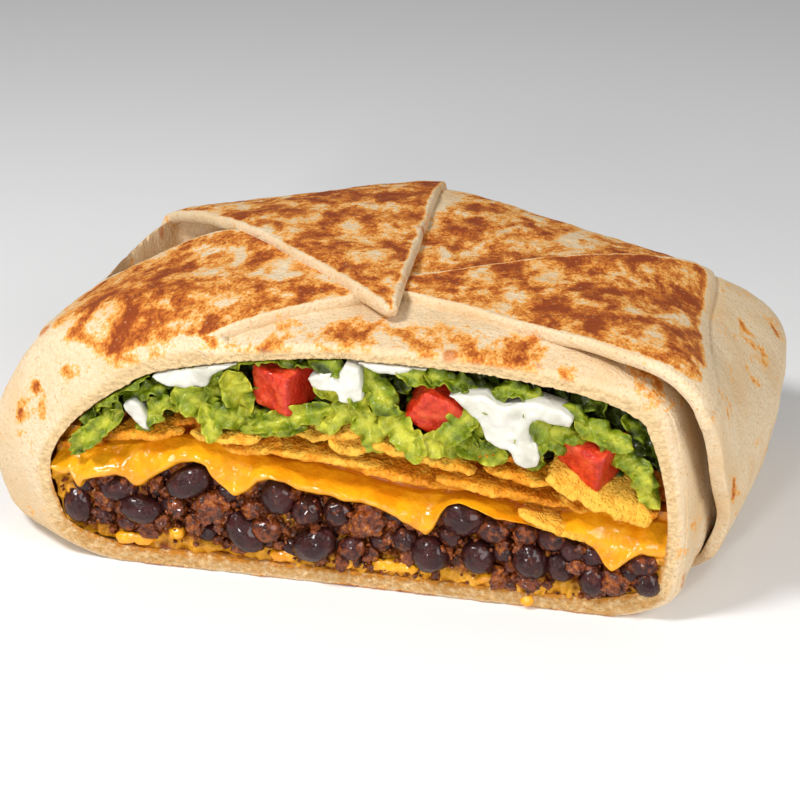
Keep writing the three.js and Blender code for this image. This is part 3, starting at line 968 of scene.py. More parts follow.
@dataclass(frozen=True)
class Pocket:
    """The open space behind the left flap's shoulder, under the left end of the top flap."""

    rim: tuple[Pair, ...] = ((-60.5, 38), (-40, 28), (-43, 15), (-54, 7), (-66, 2), (-67, 18))
    softness: tuple[float, ...] = (2.0, 2.0, 5.0, 5.0, 1.2, 1.2)
    floor: float = 29.0

    def mask(self, points: Array, inset: float = 0.0) -> Array:
        """How far points are let down into the pocket.

        Args:
            points: The points.
            inset: How much smaller the pocket is.

        Returns:
            0 outside, 1 well inside.
        """
        rim = np.array(self.rim)
        centre = rim.mean(0)
        result = np.ones(points.shape[:-1])
        for start, end, width in zip(rim, np.roll(rim, -1, 0), self.softness):
            along = (end - start) / np.linalg.norm(end - start)
            across = np.array((-along[1], along[0]))
            side = math.copysign(1.0, float((centre - start) @ across))
            distance = ((points[..., :2] - start) @ across) * side - inset
            result = result * smooth(0.0, width, distance)
        return result

    def sink(self, points: Array, inset: float = 0.0, lift: float = 0.0) -> Array:
        """Lets points down into the pocket.

        Args:
            points: The points.
            inset: How much smaller the pocket is.
            lift: How much higher its floor is.

        Returns:
            The moved points.
        """
        lowered = points.copy()
        floor = np.minimum(points[..., 2], self.floor + lift)
        lowered[..., 2] = mixed(points[..., 2], floor, self.mask(points, inset))
        return lowered


@dataclass(frozen=True)
class Flap:
    """A folded flap: a sheet on rays from its tip between two bearings, with rounded free edges."""

    name: str
    tip: Pair
    start: Curve
    end: Curve
    outer: Curve
    inner: Curve
    first: float
    last: float
    toast: Curve
    stations: int = 150
    across: int = 80
    nose_steps: int = 7
    nose: float = 0.85
    wobble: float = 0.25
    seed: int = 1


# ---------------- tortilla


@dataclass
class Tortilla:
    """The folded tortilla: its body, its cut edge and the three flaps on top of it."""

    form: WrapForm = field(default_factory=WrapForm)
    pocket: Pocket = field(default_factory=Pocket)
    bearings: int = 560
    flap_thickness: float = 1.9
    wall_spots: tuple[tuple[float, ...], ...] = (
        (-59.7, -37.2, 39.7, 2, 0.95), (-63.5, -38, 30.5, 2, 1.15),
        (-67, -35.7, 34.5, 1.6, 0.95), (-70.3, -36.8, 28.1, 1.4, 0.85),
        (-75, -12, 27, 2.2, 1.1), (-76, 8, 20, 1.8, 1), (69.2, 16.1, 38, 2, 1.1),
        (72.1, -0.9, 34.7, 2.4, 1.25), (71.1, -29.7, 23.6, 2.3, 1.15), (75.7, 29.6, 31.9, 1.6, 0.9),
        (69, -27.9, 38.3, 1.3, 0.85), (76, 10, 20, 1.8, 1), (58, 52, 24, 2.4, 1.15),
        (25, 70, 30, 2, 1.1), (-8, 76, 22, 2.4, 1.2), (-45, 66, 27, 2, 1.1),
        (-64, 44, 22, 2.2, 1.1),
    )  # fmt: skip
    front_patches: tuple[tuple[float, ...], ...] = (
        (2, -36, 9, 0.62), (25, -40, 11, 0.5), (-15, -40, 7, 0.2), (44, -38, 4, 0.4),
    )  # fmt: skip
    rim_depth: float = 1.5
    inner_lip: float = 0.35
    outer_lip: Pair = (1.0, 1.3)
    rim_back: float = 3.0
    rim_steps: int = 1150
    embed: float = 1.0
    wall_stand_off: float = 2.4
    fold_stand_off: float = 1.8
    top_stand_off: float = 2.0

    def flaps(self) -> list[Flap]:
        """The three flaps, from the lowest to the highest.

        Returns:
            The flaps.
        """
        thick = self.flap_thickness

        def closing(reach: Array) -> Array:
            """How far the right wall's edge stands open, by reach."""
            return smooth(0.5, 0.95, reach) * (1 - 0.7 * smooth(1.5, 1.95, reach))

        def right_lift(reach: Array, share: Array) -> Array:
            """How far the right flap stands off its skin.

            Args:
                reach: Reaches along the rays.
                share: Shares of the way across.

            Returns:
                The distances.
            """
            at_fold = smooth(0.82, 0.98, reach) * (1 - smooth(1.0, 1.5, reach))
            near_edge = 1 - smooth(0, 0.75, share)
            on_wall = (self.wall_stand_off + self.embed) * closing(reach)
            return (on_wall + self.fold_stand_off * at_fold) * near_edge

        def right_outer(reach: Array, share: Array) -> Array:
            """Height of the right flap's skin, which runs out into the wall beyond its far edge.

            Args:
                reach: Reaches along the rays.
                share: Shares of the way across.

            Returns:
                The heights.
            """
            merged = smooth(0.97, 1.12, reach) * smooth(0.45, 1.0, share)
            crease = 0.35 * np.exp(-(((reach - 1.004) / 0.008) ** 2))
            return thick + right_lift(reach, share) - 0.5 * share - (thick - 0.6) * merged - crease

        def right_start(reach: Array) -> Array:
            """Bearing of the right flap's front edge."""
            bow = smooth(0.3, 0.7, reach) * (1 - smooth(0.75, 1.1, reach))
            return -20 - 3 * bow + 15 * smooth(0.98, 1.95, reach)

        def carried(reach: Array, share: Array) -> Array:
            """How far the flaps under it lift the top flap."""
            over_right = (1 - share) * (1 - smooth(0.15, 0.5, reach))
            return self.top_stand_off * (share + over_right) * (1 - smooth(0.5, 1, reach))

        def left_end(reach: Array) -> Array:
            """Bearing of the left flap's far edge, which turns down into the pocket."""
            return 146 + 20 * smooth(0.6, 0.95, reach) + 14 * smooth(0.95, 1.06, reach)

        def left_outer(reach: Array, share: Array) -> Array:
            """Height of the left flap's skin, which runs out into the wall at its far end."""
            return thick * (1 - smooth(0.72, 1.02, reach)) + 0.2 - 0.6 * smooth(0.98, 1.06, reach)

        def left_toast(reach: Array) -> Array:
            """How strongly the left flap is toasted, by reach."""
            return smooth(0.2, 0.3, reach) * (1 - smooth(0.93, 1.0, reach))

        left = Flap(
            "left_flap",
            (10, -15.6),
            lambda reach: 217.0,
            left_end,
            left_outer,
            lambda reach, share: -self.embed,
            0.12,
            1.06,
            lambda reach, share, edge: 0.96 * smooth(0.5, 1.5, edge) * left_toast(reach),
            seed=3,
        )
        right = Flap(
            "right_flap",
            (-6, -17.4),
            right_start,
            lambda reach: 39.0,
            right_outer,
            lambda reach, share: right_lift(reach, share) - self.embed,
            0.12,
            1.99,
            lambda reach, share, edge: smooth(0.6, 1.5, edge) * (1 - smooth(0.962, 0.982, reach)) * 1.04,
            stations=210,
            seed=5,
        )
        top = Flap(
            "top_flap",
            (6, -34.5),
            lambda reach: 92.5,
            lambda reach: 139.5,
            lambda reach, share: thick + carried(reach, share) - 3.0 * smooth(1, 1.6, reach),
            lambda reach, share: 0.9 * carried(reach, share) - self.embed,
            0.035,
            1.6,
            lambda reach, share, edge: smooth(0.5, 1.6, edge) * (1 - smooth(0.99, 1.06, reach)),
            stations=200,
            seed=8,
        )
        return [left, right, top]

    def flap_point(self, flap: Flap, bearing: Array, reach: Array) -> Array:
        """Points of the skin under a flap.

        Args:
            flap: The flap.
            bearing: Bearings of the rays' ends.
            reach: 0 to 1 from the tip to the fold, 1 to 2 down the wall.

        Returns:
            The points.
        """
        fold = self.form.skin(bearing, np.ones_like(bearing))
        plan = np.array(flap.tip) + (fold[..., :2] - np.array(flap.tip)) * np.minimum(reach, 1)[..., None]
        crown = np.concatenate([plan, self.form.crown_height(plan[..., 0], plan[..., 1])[..., None]], -1)
        wall = self.form.skin(bearing, np.maximum(reach, 1.0001))
        return np.where((reach <= 1)[..., None], crown, wall)

    def build_flap(self, flap: Flap) -> Piece:
        """Lofts a flap as a closed sheet.

        Args:
            flap: The flap.

        Returns:
            The flap's object.
        """
        reach = np.linspace(flap.first, flap.last, flap.stations)
        if flap.last > 1.1:
            reach = np.sort(np.concatenate([reach, 1 + np.linspace(-0.0203, 0.0297, 21)]))
        ragged = np.stack([reach * 60, reach * 0, reach * 0], -1)
        free = smooth(0.1, 0.4, reach)
        start = flap.start(reach) + flap.wobble * grain(ragged, 11, flap.seed) * free
        end = flap.end(reach) + flap.wobble * grain(ragged, 11, flap.seed + 9) * free
        ends = self.flap_point(flap, start, reach) - self.flap_point(flap, end, reach)
        width = np.linalg.norm(ends, axis=-1)
        nose = np.minimum(flap.nose, width * 0.3) / width
        angles = np.linspace(0, math.pi / 2, flap.nose_steps)
        left = nose[:, None] * (1 - np.cos(angles))
        middle = nose[:, None] + (1 - 2 * nose)[:, None] * np.linspace(0, 1, flap.across)[1:-1]
        share = np.concatenate([left, middle, 1 - left[:, ::-1]], 1)
        rounding = np.concatenate([np.sin(angles), np.ones(flap.across - 2), np.sin(angles)[::-1]])
        count = share.shape[1]
        bearing = start[:, None] + (end - start)[:, None] * share
        along_grid = np.broadcast_to(reach[:, None], bearing.shape)
        base = self.flap_point(flap, bearing, along_grid)
        normal = self.flap_normal(flap, bearing, along_grid)
        outer, inner = flap.outer(along_grid, share), flap.inner(along_grid, share)
        blunt = smooth(-0.02, 0.03, along_grid - flap.first)
        half = (outer - inner) / 2 * rounding * mixed(0.5, 1, blunt)
        swell = 0.26 * grain(base, 12, flap.seed) + 0.09 * grain(base, 2.6, flap.seed + 1)
        swell = swell * smooth(self.form.cut + 0.5, self.form.cut + 7, base[..., 1])
        lift = (outer + inner) / 2
        over = base + normal * (lift + half + swell * rounding * smooth(0.0, 0.3, half))[..., None]
        under = base + normal * (lift - half)[..., None]
        if flap.name == "left_flap":
            over, under = self.pocket.sink(over, 3.0, 0.8), self.pocket.sink(under, 1.0, 0.0)
        loop = np.concatenate([over, under[:, -2:0:-1]], 1)
        size = loop.shape[1]
        faces = grid_faces(len(reach), size, closed=True).tolist()
        faces += self.cap_faces(count, size, 0) + self.cap_faces(count, size, (len(reach) - 1) * size)
        made = make_object(flap.name, loop, faces)
        edge = np.minimum(share, 1 - share) * width[:, None]
        toast = flap.toast(along_grid, share, edge)
        toast = toast * smooth(self.form.cut + 0.8, self.form.cut + 3.8, base[..., 1])
        pale = np.zeros((len(reach), size - count))
        store(made, "toast", np.concatenate([np.maximum(toast, self.spot_toast(over)), pale], 1))
        return made

    def flap_normal(self, flap: Flap, bearing: Array, reach: Array) -> Array:
        """Outward directions of the skin under a flap.

        Args:
            flap: The flap.
            bearing: Bearings of the rays' ends.
            reach: Reaches along the rays.

        Returns:
            One direction for each point.
        """
        step, turn = 0.03, 0.6
        ahead = self.flap_point(flap, bearing, np.minimum(1.999, reach + step))
        behind = self.flap_point(flap, bearing, np.maximum(0.02, reach - step))
        side = self.flap_point(flap, bearing + turn, reach) - self.flap_point(flap, bearing - turn, reach)
        normal = np.cross(ahead - behind, side)
        normal[..., 2] = np.maximum(normal[..., 2], 0)
        return normal / np.linalg.norm(normal, axis=-1, keepdims=True)

    @staticmethod
    def cap_faces(count: int, size: int, start: int) -> list[list[int]]:
        """Faces that close one end of a lofted sheet, by its section's upper and whole number of points."""
        corners = ((i, i + 1, size - i - 1, (size - i) % size) for i in range(count - 1))
        return [[start + corner for corner in dict.fromkeys(face)] for face in corners]

    def spot_toast(self, points: Array) -> Array:
        """How strongly the single spots of the walls are toasted, at each point.

        Args:
            points: The points.

        Returns:
            0 for none to 1 for brown.
        """
        found = np.zeros(points.shape[:-1])
        for x, y, z, reach, strength in self.wall_spots:
            apart = ((points - (x, y, z)) * (1, 1, 0.6)) ** 2
            found = np.maximum(found, strength * np.exp(-apart.sum(-1) / reach**2))
        return found

    def wall_toast_and_pocket_shade(self, points: Array) -> Array:
        """How strongly the body's skin is toasted, with painted shade as a tan in the pocket.

        Args:
            points: Points of the body.

        Returns:
            0 for pale to 1 for well browned.
        """
        x, y, z = points[:, 0], points[:, 1], points[:, 2]
        bearing, distance = self.form.polar(x, y)
        level = distance / self.form.fold_radius(bearing)
        on_crown = (1 - smooth(0.93, 1.0, level)) * smooth(30, 38, z)
        back = smooth(30, 46, bearing) * (1 - smooth(86, 92, bearing))
        front = 1 - smooth(-36, -26, y)
        patches = 0.0
        for patch_x, patch_y, reach, strength in self.front_patches:
            apart = ((x - patch_x) / reach) ** 2 + ((y - patch_y) / (reach * 0.7)) ** 2
            patches = np.maximum(patches, strength * np.exp(-apart))
        crown = np.maximum(back * 0.92, front * (0.27 + patches))
        base = 1 - smooth(0.2, 1.0, z)
        # Painted shade: the pocket's hollow takes a tan from the toast colours; the spots are real toast.
        inside = np.maximum(0.42 * self.pocket.mask(points), self.spot_toast(points))
        return np.maximum(crown * on_crown, inside) + 0.7 * base * (1 - smooth(0.9, 1.0, level))

    def levels(self) -> Array:
        """Levels of the body's rings, closest at the fold.

        Returns:
            The levels.
        """
        crown = np.concatenate([np.linspace(0.012, 0.8, 44), np.linspace(0.81, 1.0, 30)])
        wall = np.concatenate([np.linspace(1.012, 1.8, 42), np.linspace(1.82, 2.0, 13)])
        return np.concatenate([crown, wall])

    def build_skin(self, name: str, bearings: int, levels: Array, extra: float | None) -> Piece:
        """The outer or inner skin as a closed body.

        Args:
            name: Its name.
            bearings: How many points go round.
            levels: Levels of the rings.
            extra: How much deeper the inner skin lies, or None for the outer one.

        Returns:
            The object.
        """
        bearing, level = np.meshgrid(np.arange(bearings) * 360.0 / bearings, levels)
        rings = self.form.skin(bearing, level)
        if extra is None:
            fade = smooth(0.5, 4.0, rings[..., 2])
            fade = fade * smooth(self.form.cut + 0.5, self.form.cut + 7, rings[..., 1])
            swell = (0.40 * grain(rings, 10, 2) + 0.11 * grain(rings, 2.8, 4)) * fade
            angle, outward = np.radians(bearing), smooth(0.95, 1.1, level)
            upward = 1 - smooth(0.9, 1.05, level)
            way = np.stack([np.cos(angle) * outward, np.sin(angle) * outward, upward], -1)
            rings = rings + way * swell[..., None]
            rings = self.pocket.sink(rings)
        else:
            rings = self.form.inner(rings, level, extra)
            rings = self.pocket.sink(rings, -self.form.wall - extra, -self.form.top - extra)
        floor = rings[-1, 0, 2]
        middle = np.array((*self.form.meeting, 0.0))
        shares = (0.97, 0.85, 0.6, 0.3, 0.05)
        base = [mixed(middle, rings[-1] * (1, 1, 0), share) + (0, 0, floor) for share in shares]
        points = np.concatenate([rings, np.stack(base)], 0)
        top = points[0].mean(0) * (1, 1, 0) + (0, 0, points[0, :, 2].max())
        bottom = np.array((*self.form.meeting, floor))
        rows = len(points)
        faces = grid_faces(rows, bearings, closed=True).tolist()
        last = (rows - 1) * bearings
        for i in range(bearings):
            after = (i + 1) % bearings
            faces.append([rows * bearings, i, after])
            faces.append([rows * bearings + 1, last + after, last + i])
        return make_object(name, np.concatenate([points.reshape(-1, 3), [top], [bottom]]), faces)

    def build_body(self) -> Piece:
        """The hollow body, cut open at the front.

        Returns:
            The object.
        """
        body = self.build_skin("tortilla_body", self.bearings, self.levels(), None)
        inner_levels = np.concatenate([np.linspace(0.05, 1, 24), np.linspace(1.05, 2, 24)])
        hollow = self.build_skin("hollow", 180, inner_levels, 0.0)
        block = make_block((-150, -150, -50), (150, self.form.cut + self.rim_depth, 150))
        for tool in (hollow, block):
            cut = body.modifiers.new("cut", "BOOLEAN")
            cut.operation = "DIFFERENCE"
            cut.solver = "MANIFOLD"
            cut.object = tool
        settle(body)
        discard(hollow, block)
        body.data.shade_smooth()
        mark_sharp(body, 50)
        store(body, "toast", self.wall_toast_and_pocket_shade(points_of(body)))
        return body

    def left_rise(self, x: Array, y: Array, left: Flap) -> Array:
        """Thickness that the left flap adds near the cut.

        Args:
            x: Places along the cut.
            y: Places across it.
            left: The left flap.

        Returns:
            The added thickness.
        """
        bearing = np.linspace(150, 225, 400)
        fold = self.form.skin(bearing, np.ones_like(bearing))
        seen = np.degrees(np.arctan2(fold[:, 1] - left.tip[1], fold[:, 0] - left.tip[0])) % 360
        asked = np.degrees(np.arctan2(y - left.tip[1], x - left.tip[0])) % 360
        found = np.interp(asked, seen, bearing)
        end = self.form.skin(found, np.ones_like(found))
        whole = np.hypot(end[:, 0] - left.tip[0], end[:, 1] - left.tip[1])
        reach = np.hypot(x - left.tip[0], y - left.tip[1]) / whole
        thick = left.outer(np.clip(reach, 0, 1.06), found)
        return np.clip(thick, 0, None) * smooth(217.8, 216.2, found)

    def build_rim(self, left: Flap) -> Piece:
        """The cut edge: a ring with rounded lips and a crumbly face.

        Args:
            left: The left flap.

        Returns:
            The object.
        """
        form = self.form
        angles = np.linspace(0, 2 * math.pi, self.rim_steps, endpoint=False)

        def inside(x: Array, y: Array, z: Array) -> Array:
            """Whether points near the cut lie in the body or in the left flap on it."""
            rise = self.left_rise(x, y, left)
            return form.inside_skin(x, y, z) | form.inside_skin(x, y, z - rise) & (z > 20)

        places = (0.0, self.rim_back)
        outer = [form.section(inside, angles, back) for back in places]
        hollow = [form.section(form.inside_hollow, angles, back) for back in places]
        width = np.linalg.norm(outer[0] - hollow[0], axis=-1)
        small = self.inner_lip
        large = np.minimum(mixed(*self.outer_lip, smooth(22, 40, outer[0][:, 1])), width * 0.6)
        # Sections run from behind the inner lip, over the face, to behind the outer lip.
        arc = np.linspace(0, math.pi / 2, 7)
        profile = [(0.0, -0.25, self.rim_back, 0.0)]  # share, inset, depth, across
        profile += [(0.0, small * (1 - math.cos(a)), small * (1 - math.sin(a)), 0.0) for a in arc[::2]]
        ends = small / width, 1 - large / width
        profile += [(mixed(*ends, s), 0.0, 0.0, s * 0.9) for s in np.linspace(0, 1, 11)[1:-1]]
        for sine, cosine in zip(np.sin(arc), np.cos(arc)):
            profile.append((1.0, -large * (1 - sine), large * (1 - cosine), 0.9 + 0.1 * sine))
        profile.append((1.0, -0.35, self.rim_back, 1.0))
        rows = []
        for share, inset, back, _ in profile:
            deep = np.broadcast_to(back / self.rim_back, width.shape)[:, None]
            from_hollow, to_outer = mixed(*hollow, deep), mixed(*outer, deep)
            plan = mixed(from_hollow, to_outer, np.broadcast_to(share + inset / width, width.shape)[:, None])
            rows.append(np.stack([plan[:, 0], form.cut + back + 0 * width, plan[:, 1]], -1))
        points = np.stack(rows)
        front = 1 - smooth(0.0, 0.5, points[..., 1] - form.cut)
        rough = 0.30 * grain(points, 0.8, 6, 3) + 0.26 * grain(points, 3.4, 7, 2)
        points[..., 1] += rough * (0.15 + 0.85 * front)
        points[..., 2] += 0.16 * grain(points, 1.2, 17, 2) * front
        points[..., 2] = np.maximum(points[..., 2], 0.02)
        faces = grid_faces(len(profile) + 1, len(angles), closed=True)
        faces = faces % (len(profile) * len(angles))
        made = make_object("tortilla_cut_edge", points, faces)
        share = np.repeat([p[3] for p in profile], len(angles))
        store(made, "across", share)
        store(made, "crumb", 1 - smooth(0.86, 0.97, share))
        store(made, "toast", self.wall_toast_and_pocket_shade(points.reshape(-1, 3)))
        return made

    def build(self) -> None:
        """Builds and dresses every piece of the tortilla."""
        left, right, top = self.flaps()
        pieces = [self.build_body()] + [self.build_flap(flap) for flap in (left, right, top)]
        trim(pieces[1], Vector((0, (self.form.cut + self.rim_depth) * MM, 0)), Vector((0, -1, 0)))
        for piece in pieces:
            dress(piece, Finish.TORTILLA, "tortilla")
        dress(self.build_rim(left), Finish.TORTILLA, "tortilla")


def make_block(low: Point, high: Point) -> Piece:
    """A plain block between two corners, used as a cutter.

    Args:
        low: Its lowest corner.
        high: Its highest corner.

    Returns:
        The object.
    """
    corners = np.array(list(product(*zip(low, high))), float)
    faces = [(0, 1, 3, 2), (4, 6, 7, 5), (0, 4, 5, 1), (2, 3, 7, 6), (0, 2, 6, 4), (1, 5, 7, 3)]
    return make_object("block", corners, faces)


def trim(piece: Piece, place: Vector, direction: Vector) -> None:
    """Cuts off what lies beyond a plane, and closes the cut.

    Args:
        piece: The object to trim.
        place: A point of the plane, in metres.
        direction: Points to the side that goes.
    """
    built = bmesh.new()
    built.from_mesh(piece.data)
    parts = [*built.verts, *built.edges, *built.faces]
    made = bmesh.ops.bisect_plane(built, geom=parts, plane_co=place, plane_no=direction, clear_outer=True)
    edges = [part for part in made["geom_cut"] if isinstance(part, bmesh.types.BMEdge)]
    bmesh.ops.holes_fill(built, edges=edges, sides=0)
    built.to_mesh(piece.data)
    built.free()


def mark_sharp(piece: Piece, angle: float) -> None:
    """Keeps a piece's edges crisp where they turn by more than an angle in degrees."""
    piece.data.set_sharp_from_angle(angle=math.radians(angle))


# ---------------- laying repeated pieces


@dataclass
class Lot:
    """Places, turns, sizes, kinds and tones of many like pieces, laid by one node tree."""

    rows: list[tuple[Point, Point, Point, int, float]] = field(default_factory=list)

    def add(self, place: Point, turn: Point, size: Point, kind: int, tone: float) -> None:
        """Adds a piece: its middle, its turns in radians, its scale, its pattern and its shade."""
        self.rows.append((place, turn, size, kind, tone))

    def laid(self, name: str, patterns: Sequence[Piece]) -> Piece:
        """Copies the patterns to their places.

        Args:
            name: The new object's name.
            patterns: The pieces to copy, which are used up.

        Returns:
            One plain mesh object.
        """
        places, *columns = (np.array(column) for column in zip(*self.rows))
        points = make_object(name, places, [])
        titles = ("turn", "FLOAT_VECTOR"), ("size", "FLOAT_VECTOR"), ("kind", "INT"), ("tone", "FLOAT")
        for (title, kind), column in zip(titles, columns):
            held = points.data.attributes.new(title, kind, "POINT").data
            values = column.astype(np.int32 if kind == "INT" else np.float32).ravel()
            held.foreach_set("vector" if kind == "FLOAT_VECTOR" else "value", values)
        shelf = bpy.data.collections.new(name + "_patterns")
        for index, pattern in enumerate(patterns):
            for collection in list(pattern.users_collection):
                collection.objects.unlink(pattern)
            pattern.name = f"{index:02d}_{pattern.name}"
            shelf.objects.link(pattern)
        modifier = points.modifiers.new("lay", "NODES")
        modifier.node_group = laying_tree()
        modifier[modifier.node_group.interface.items_tree["Patterns"].identifier] = shelf
        settle(points)
        discard(*patterns)
        bpy.data.collections.remove(shelf)
        points.data.shade_smooth()
        return points


def laying_tree() -> bpy.types.NodeTree:
    """The node tree that copies patterns to points by their stored turn, size and kind.

    Returns:
        The tree.
    """
    known = bpy.data.node_groups.get("lay_pieces")
    if known:
        return known
    tree = bpy.data.node_groups.new("lay_pieces", "GeometryNodeTree")
    for title, way, kind in (
        ("Geometry", "INPUT", "Geometry"),
        ("Patterns", "INPUT", "Collection"),
        ("Geometry", "OUTPUT", "Geometry"),
    ):
        tree.interface.new_socket(title, in_out=way, socket_type="NodeSocket" + kind)
    nodes = tree.nodes
    given = nodes.new("NodeGroupInput")
    result = nodes.new("NodeGroupOutput")

    def named(title: str, kind: str) -> bpy.types.Node:
        """A number stored on the points.

        Args:
            title: The number's name.
            kind: Its type.

        Returns:
            The node.
        """
        made = nodes.new("GeometryNodeInputNamedAttribute")
        made.data_type = kind
        made.inputs["Name"].default_value = title
        return made

    patterns = nodes.new("GeometryNodeCollectionInfo")
    patterns.inputs["Separate Children"].default_value = True
    patterns.inputs["Reset Children"].default_value = True
    as_points = nodes.new("GeometryNodeMeshToPoints")
    copies = nodes.new("GeometryNodeInstanceOnPoints")
    copies.inputs["Pick Instance"].default_value = True
    turning = nodes.new("FunctionNodeEulerToRotation")
    real = nodes.new("GeometryNodeRealizeInstances")
    for source, output, target, socket in (
        (given, "Patterns", patterns, "Collection"),
        (given, "Geometry", as_points, "Mesh"),
        (as_points, "Points", copies, "Points"),
        (patterns, "Instances", copies, "Instance"),
        (named("kind", "INT"), "Attribute", copies, "Instance Index"),
        (named("turn", "FLOAT_VECTOR"), "Attribute", turning, "Euler"),
        (turning, "Rotation", copies, "Rotation"),
        (named("size", "FLOAT_VECTOR"), "Attribute", copies, "Scale"),
        (copies, "Instances", real, "Geometry"),
        (real, "Geometry", result, "Geometry"),
    ):
        tree.links.new(source.outputs[output], target.inputs[socket])
    return tree


def ball(name: str, detail: int) -> Piece:
    """A unit ball of even triangles, one millimetre in radius.

    Args:
        name: Its name.
        detail: How finely it is divided.

    Returns:
        The object.
    """
    built = bmesh.new()
    bmesh.ops.create_icosphere(built, subdivisions=detail, radius=1.0)
    points = np.array([tuple(v.co) for v in built.verts])
    faces = [[v.index for v in f.verts] for f in built.faces]
    built.free()
    return make_object(name, points, faces)


def lumpy_ball(name: str, detail: int, size: float, height: float, seed: int) -> Piece:
    """A ball with an uneven surface.

    Args:
        name: Its name.
        detail: How finely it is divided.
        size: Size of its lumps.
        height: Their height.
        seed: Picks other lumps.

    Returns:
        The object.
    """
    made = ball(name, detail)
    points = points_of(made)
    lift = 1 + height * grain(points, size, seed, 3)
    move_points(made, points * lift[:, None])
    return made


# ---------------- filling


@dataclass
class Section:
    """The open section of the wrap at its cut, in which the filling's layers show."""

    form: WrapForm = field(default_factory=WrapForm)
    slope: float = 0.05
    overlap: float = 0.4
    depth: float = 8.0

    def __post_init__(self) -> None:
        """Measures the section's outline once."""
        self.angles = np.linspace(-math.pi, math.pi, 721)
        outline = self.form.section(self.form.inside_hollow, self.angles) - self.form.heart
        self.radii = np.hypot(outline[:, 0], outline[:, 1])

    def height(self, level: float, x: Array | float) -> Array:
        """Height at x of a layer's surface, by its height at the middle."""
        return level - self.slope * np.asarray(x, float)

    def held(self, points: Array, margin: float = 0.3) -> Array:
        """Draws points that would pass the tortilla back inside it.

        Args:
            points: Points near the cut.
            margin: Gap kept to the tortilla.

        Returns:
            The points.
        """
        kept, (heart_x, heart_z) = points.copy(), self.form.heart
        x, z = points[..., 0] - heart_x, points[..., 2] - heart_z
        allowed = np.interp(np.arctan2(z, x), self.angles, self.radii) - margin
        share = np.minimum(1.0, allowed / np.maximum(np.hypot(x, z), 1e-6))
        kept[..., 0] = heart_x + x * share
        kept[..., 2] = heart_z + z * share
        return kept

    def front(self, name: str, face: Array) -> Piece:
        """A closed slab behind an uneven front face, whose rim reaches into the tortilla.

        Args:
            name: Its name.
            face: The front's grid of points.

        Returns:
            The object.
        """
        face = self.held(face, -self.overlap)
        behind = face.copy()
        behind[..., 1] = self.form.cut + self.depth
        return slab(name, face, behind)

    def core(self, name: str, low: float, high: float, recess: float) -> Piece:
        """The plain inside of a layer, out to the tortilla.

        Args:
            name: Its name.
            low: Height of its lower surface.
            high: Height of its upper surface.
            recess: How far behind the cut it starts.

        Returns:
            The object.
        """
        levels = np.concatenate([np.linspace(0.1, 1, 14), np.linspace(1.1, 2, 12)])
        made = Tortilla(form=self.form).build_skin(name, 90, levels, 0.3)
        tilt = Vector((self.slope, 0, 1)).normalized()
        for height, direction in ((high, tilt), (low, -tilt)):
            trim(made, Vector((0, 0, height * MM)), direction)
        trim(made, Vector((0, (self.form.cut + recess) * MM, 0)), Vector((0, -1, 0)))
        mark_sharp(made, 35)
        return made


def slab(name: str, face: Array, behind: Array) -> Piece:
    """A closed body between two grids of points.

    Args:
        name: Its name.
        face: One grid of points.
        behind: The other.

    Returns:
        The object.
    """
    rows, columns = face.shape[:2]
    count = rows * columns
    grid = np.arange(count).reshape(rows, columns)
    faces = grid_faces(rows, columns).tolist() + grid_faces(rows, columns, start=count)[:, ::-1].tolist()
    rim = [*grid[0], *grid[1:, -1], *grid[-1, -2::-1], *grid[-2:0:-1, 0]]
    for here, after in zip(rim, rim[1:] + rim[:1]):
        faces.append([after, here, here + count, after + count])
    return make_object(name, np.concatenate([face.reshape(-1, 3), behind.reshape(-1, 3)]), faces)


def made_of(kind: type, *rows: Sequence) -> tuple:
    """Things of one kind, from the rows of a table."""
    return tuple(kind(*row) for row in rows)


def turned(points: Array, x: float, y: float, z: float) -> Array:
    """Points turned about x, then y, then z, by angles in degrees."""
    matrix = np.array(Euler((math.radians(x), math.radians(y), math.radians(z))).to_matrix())
    return points @ matrix.T


@dataclass(frozen=True)
class BeanSpot:
    """A bean that shows: place on the cut, length, width, how it lies and how brown it is."""

    x: float
    z: float
    length: float
    width: float
    turn: float
    out: float
    tone: float


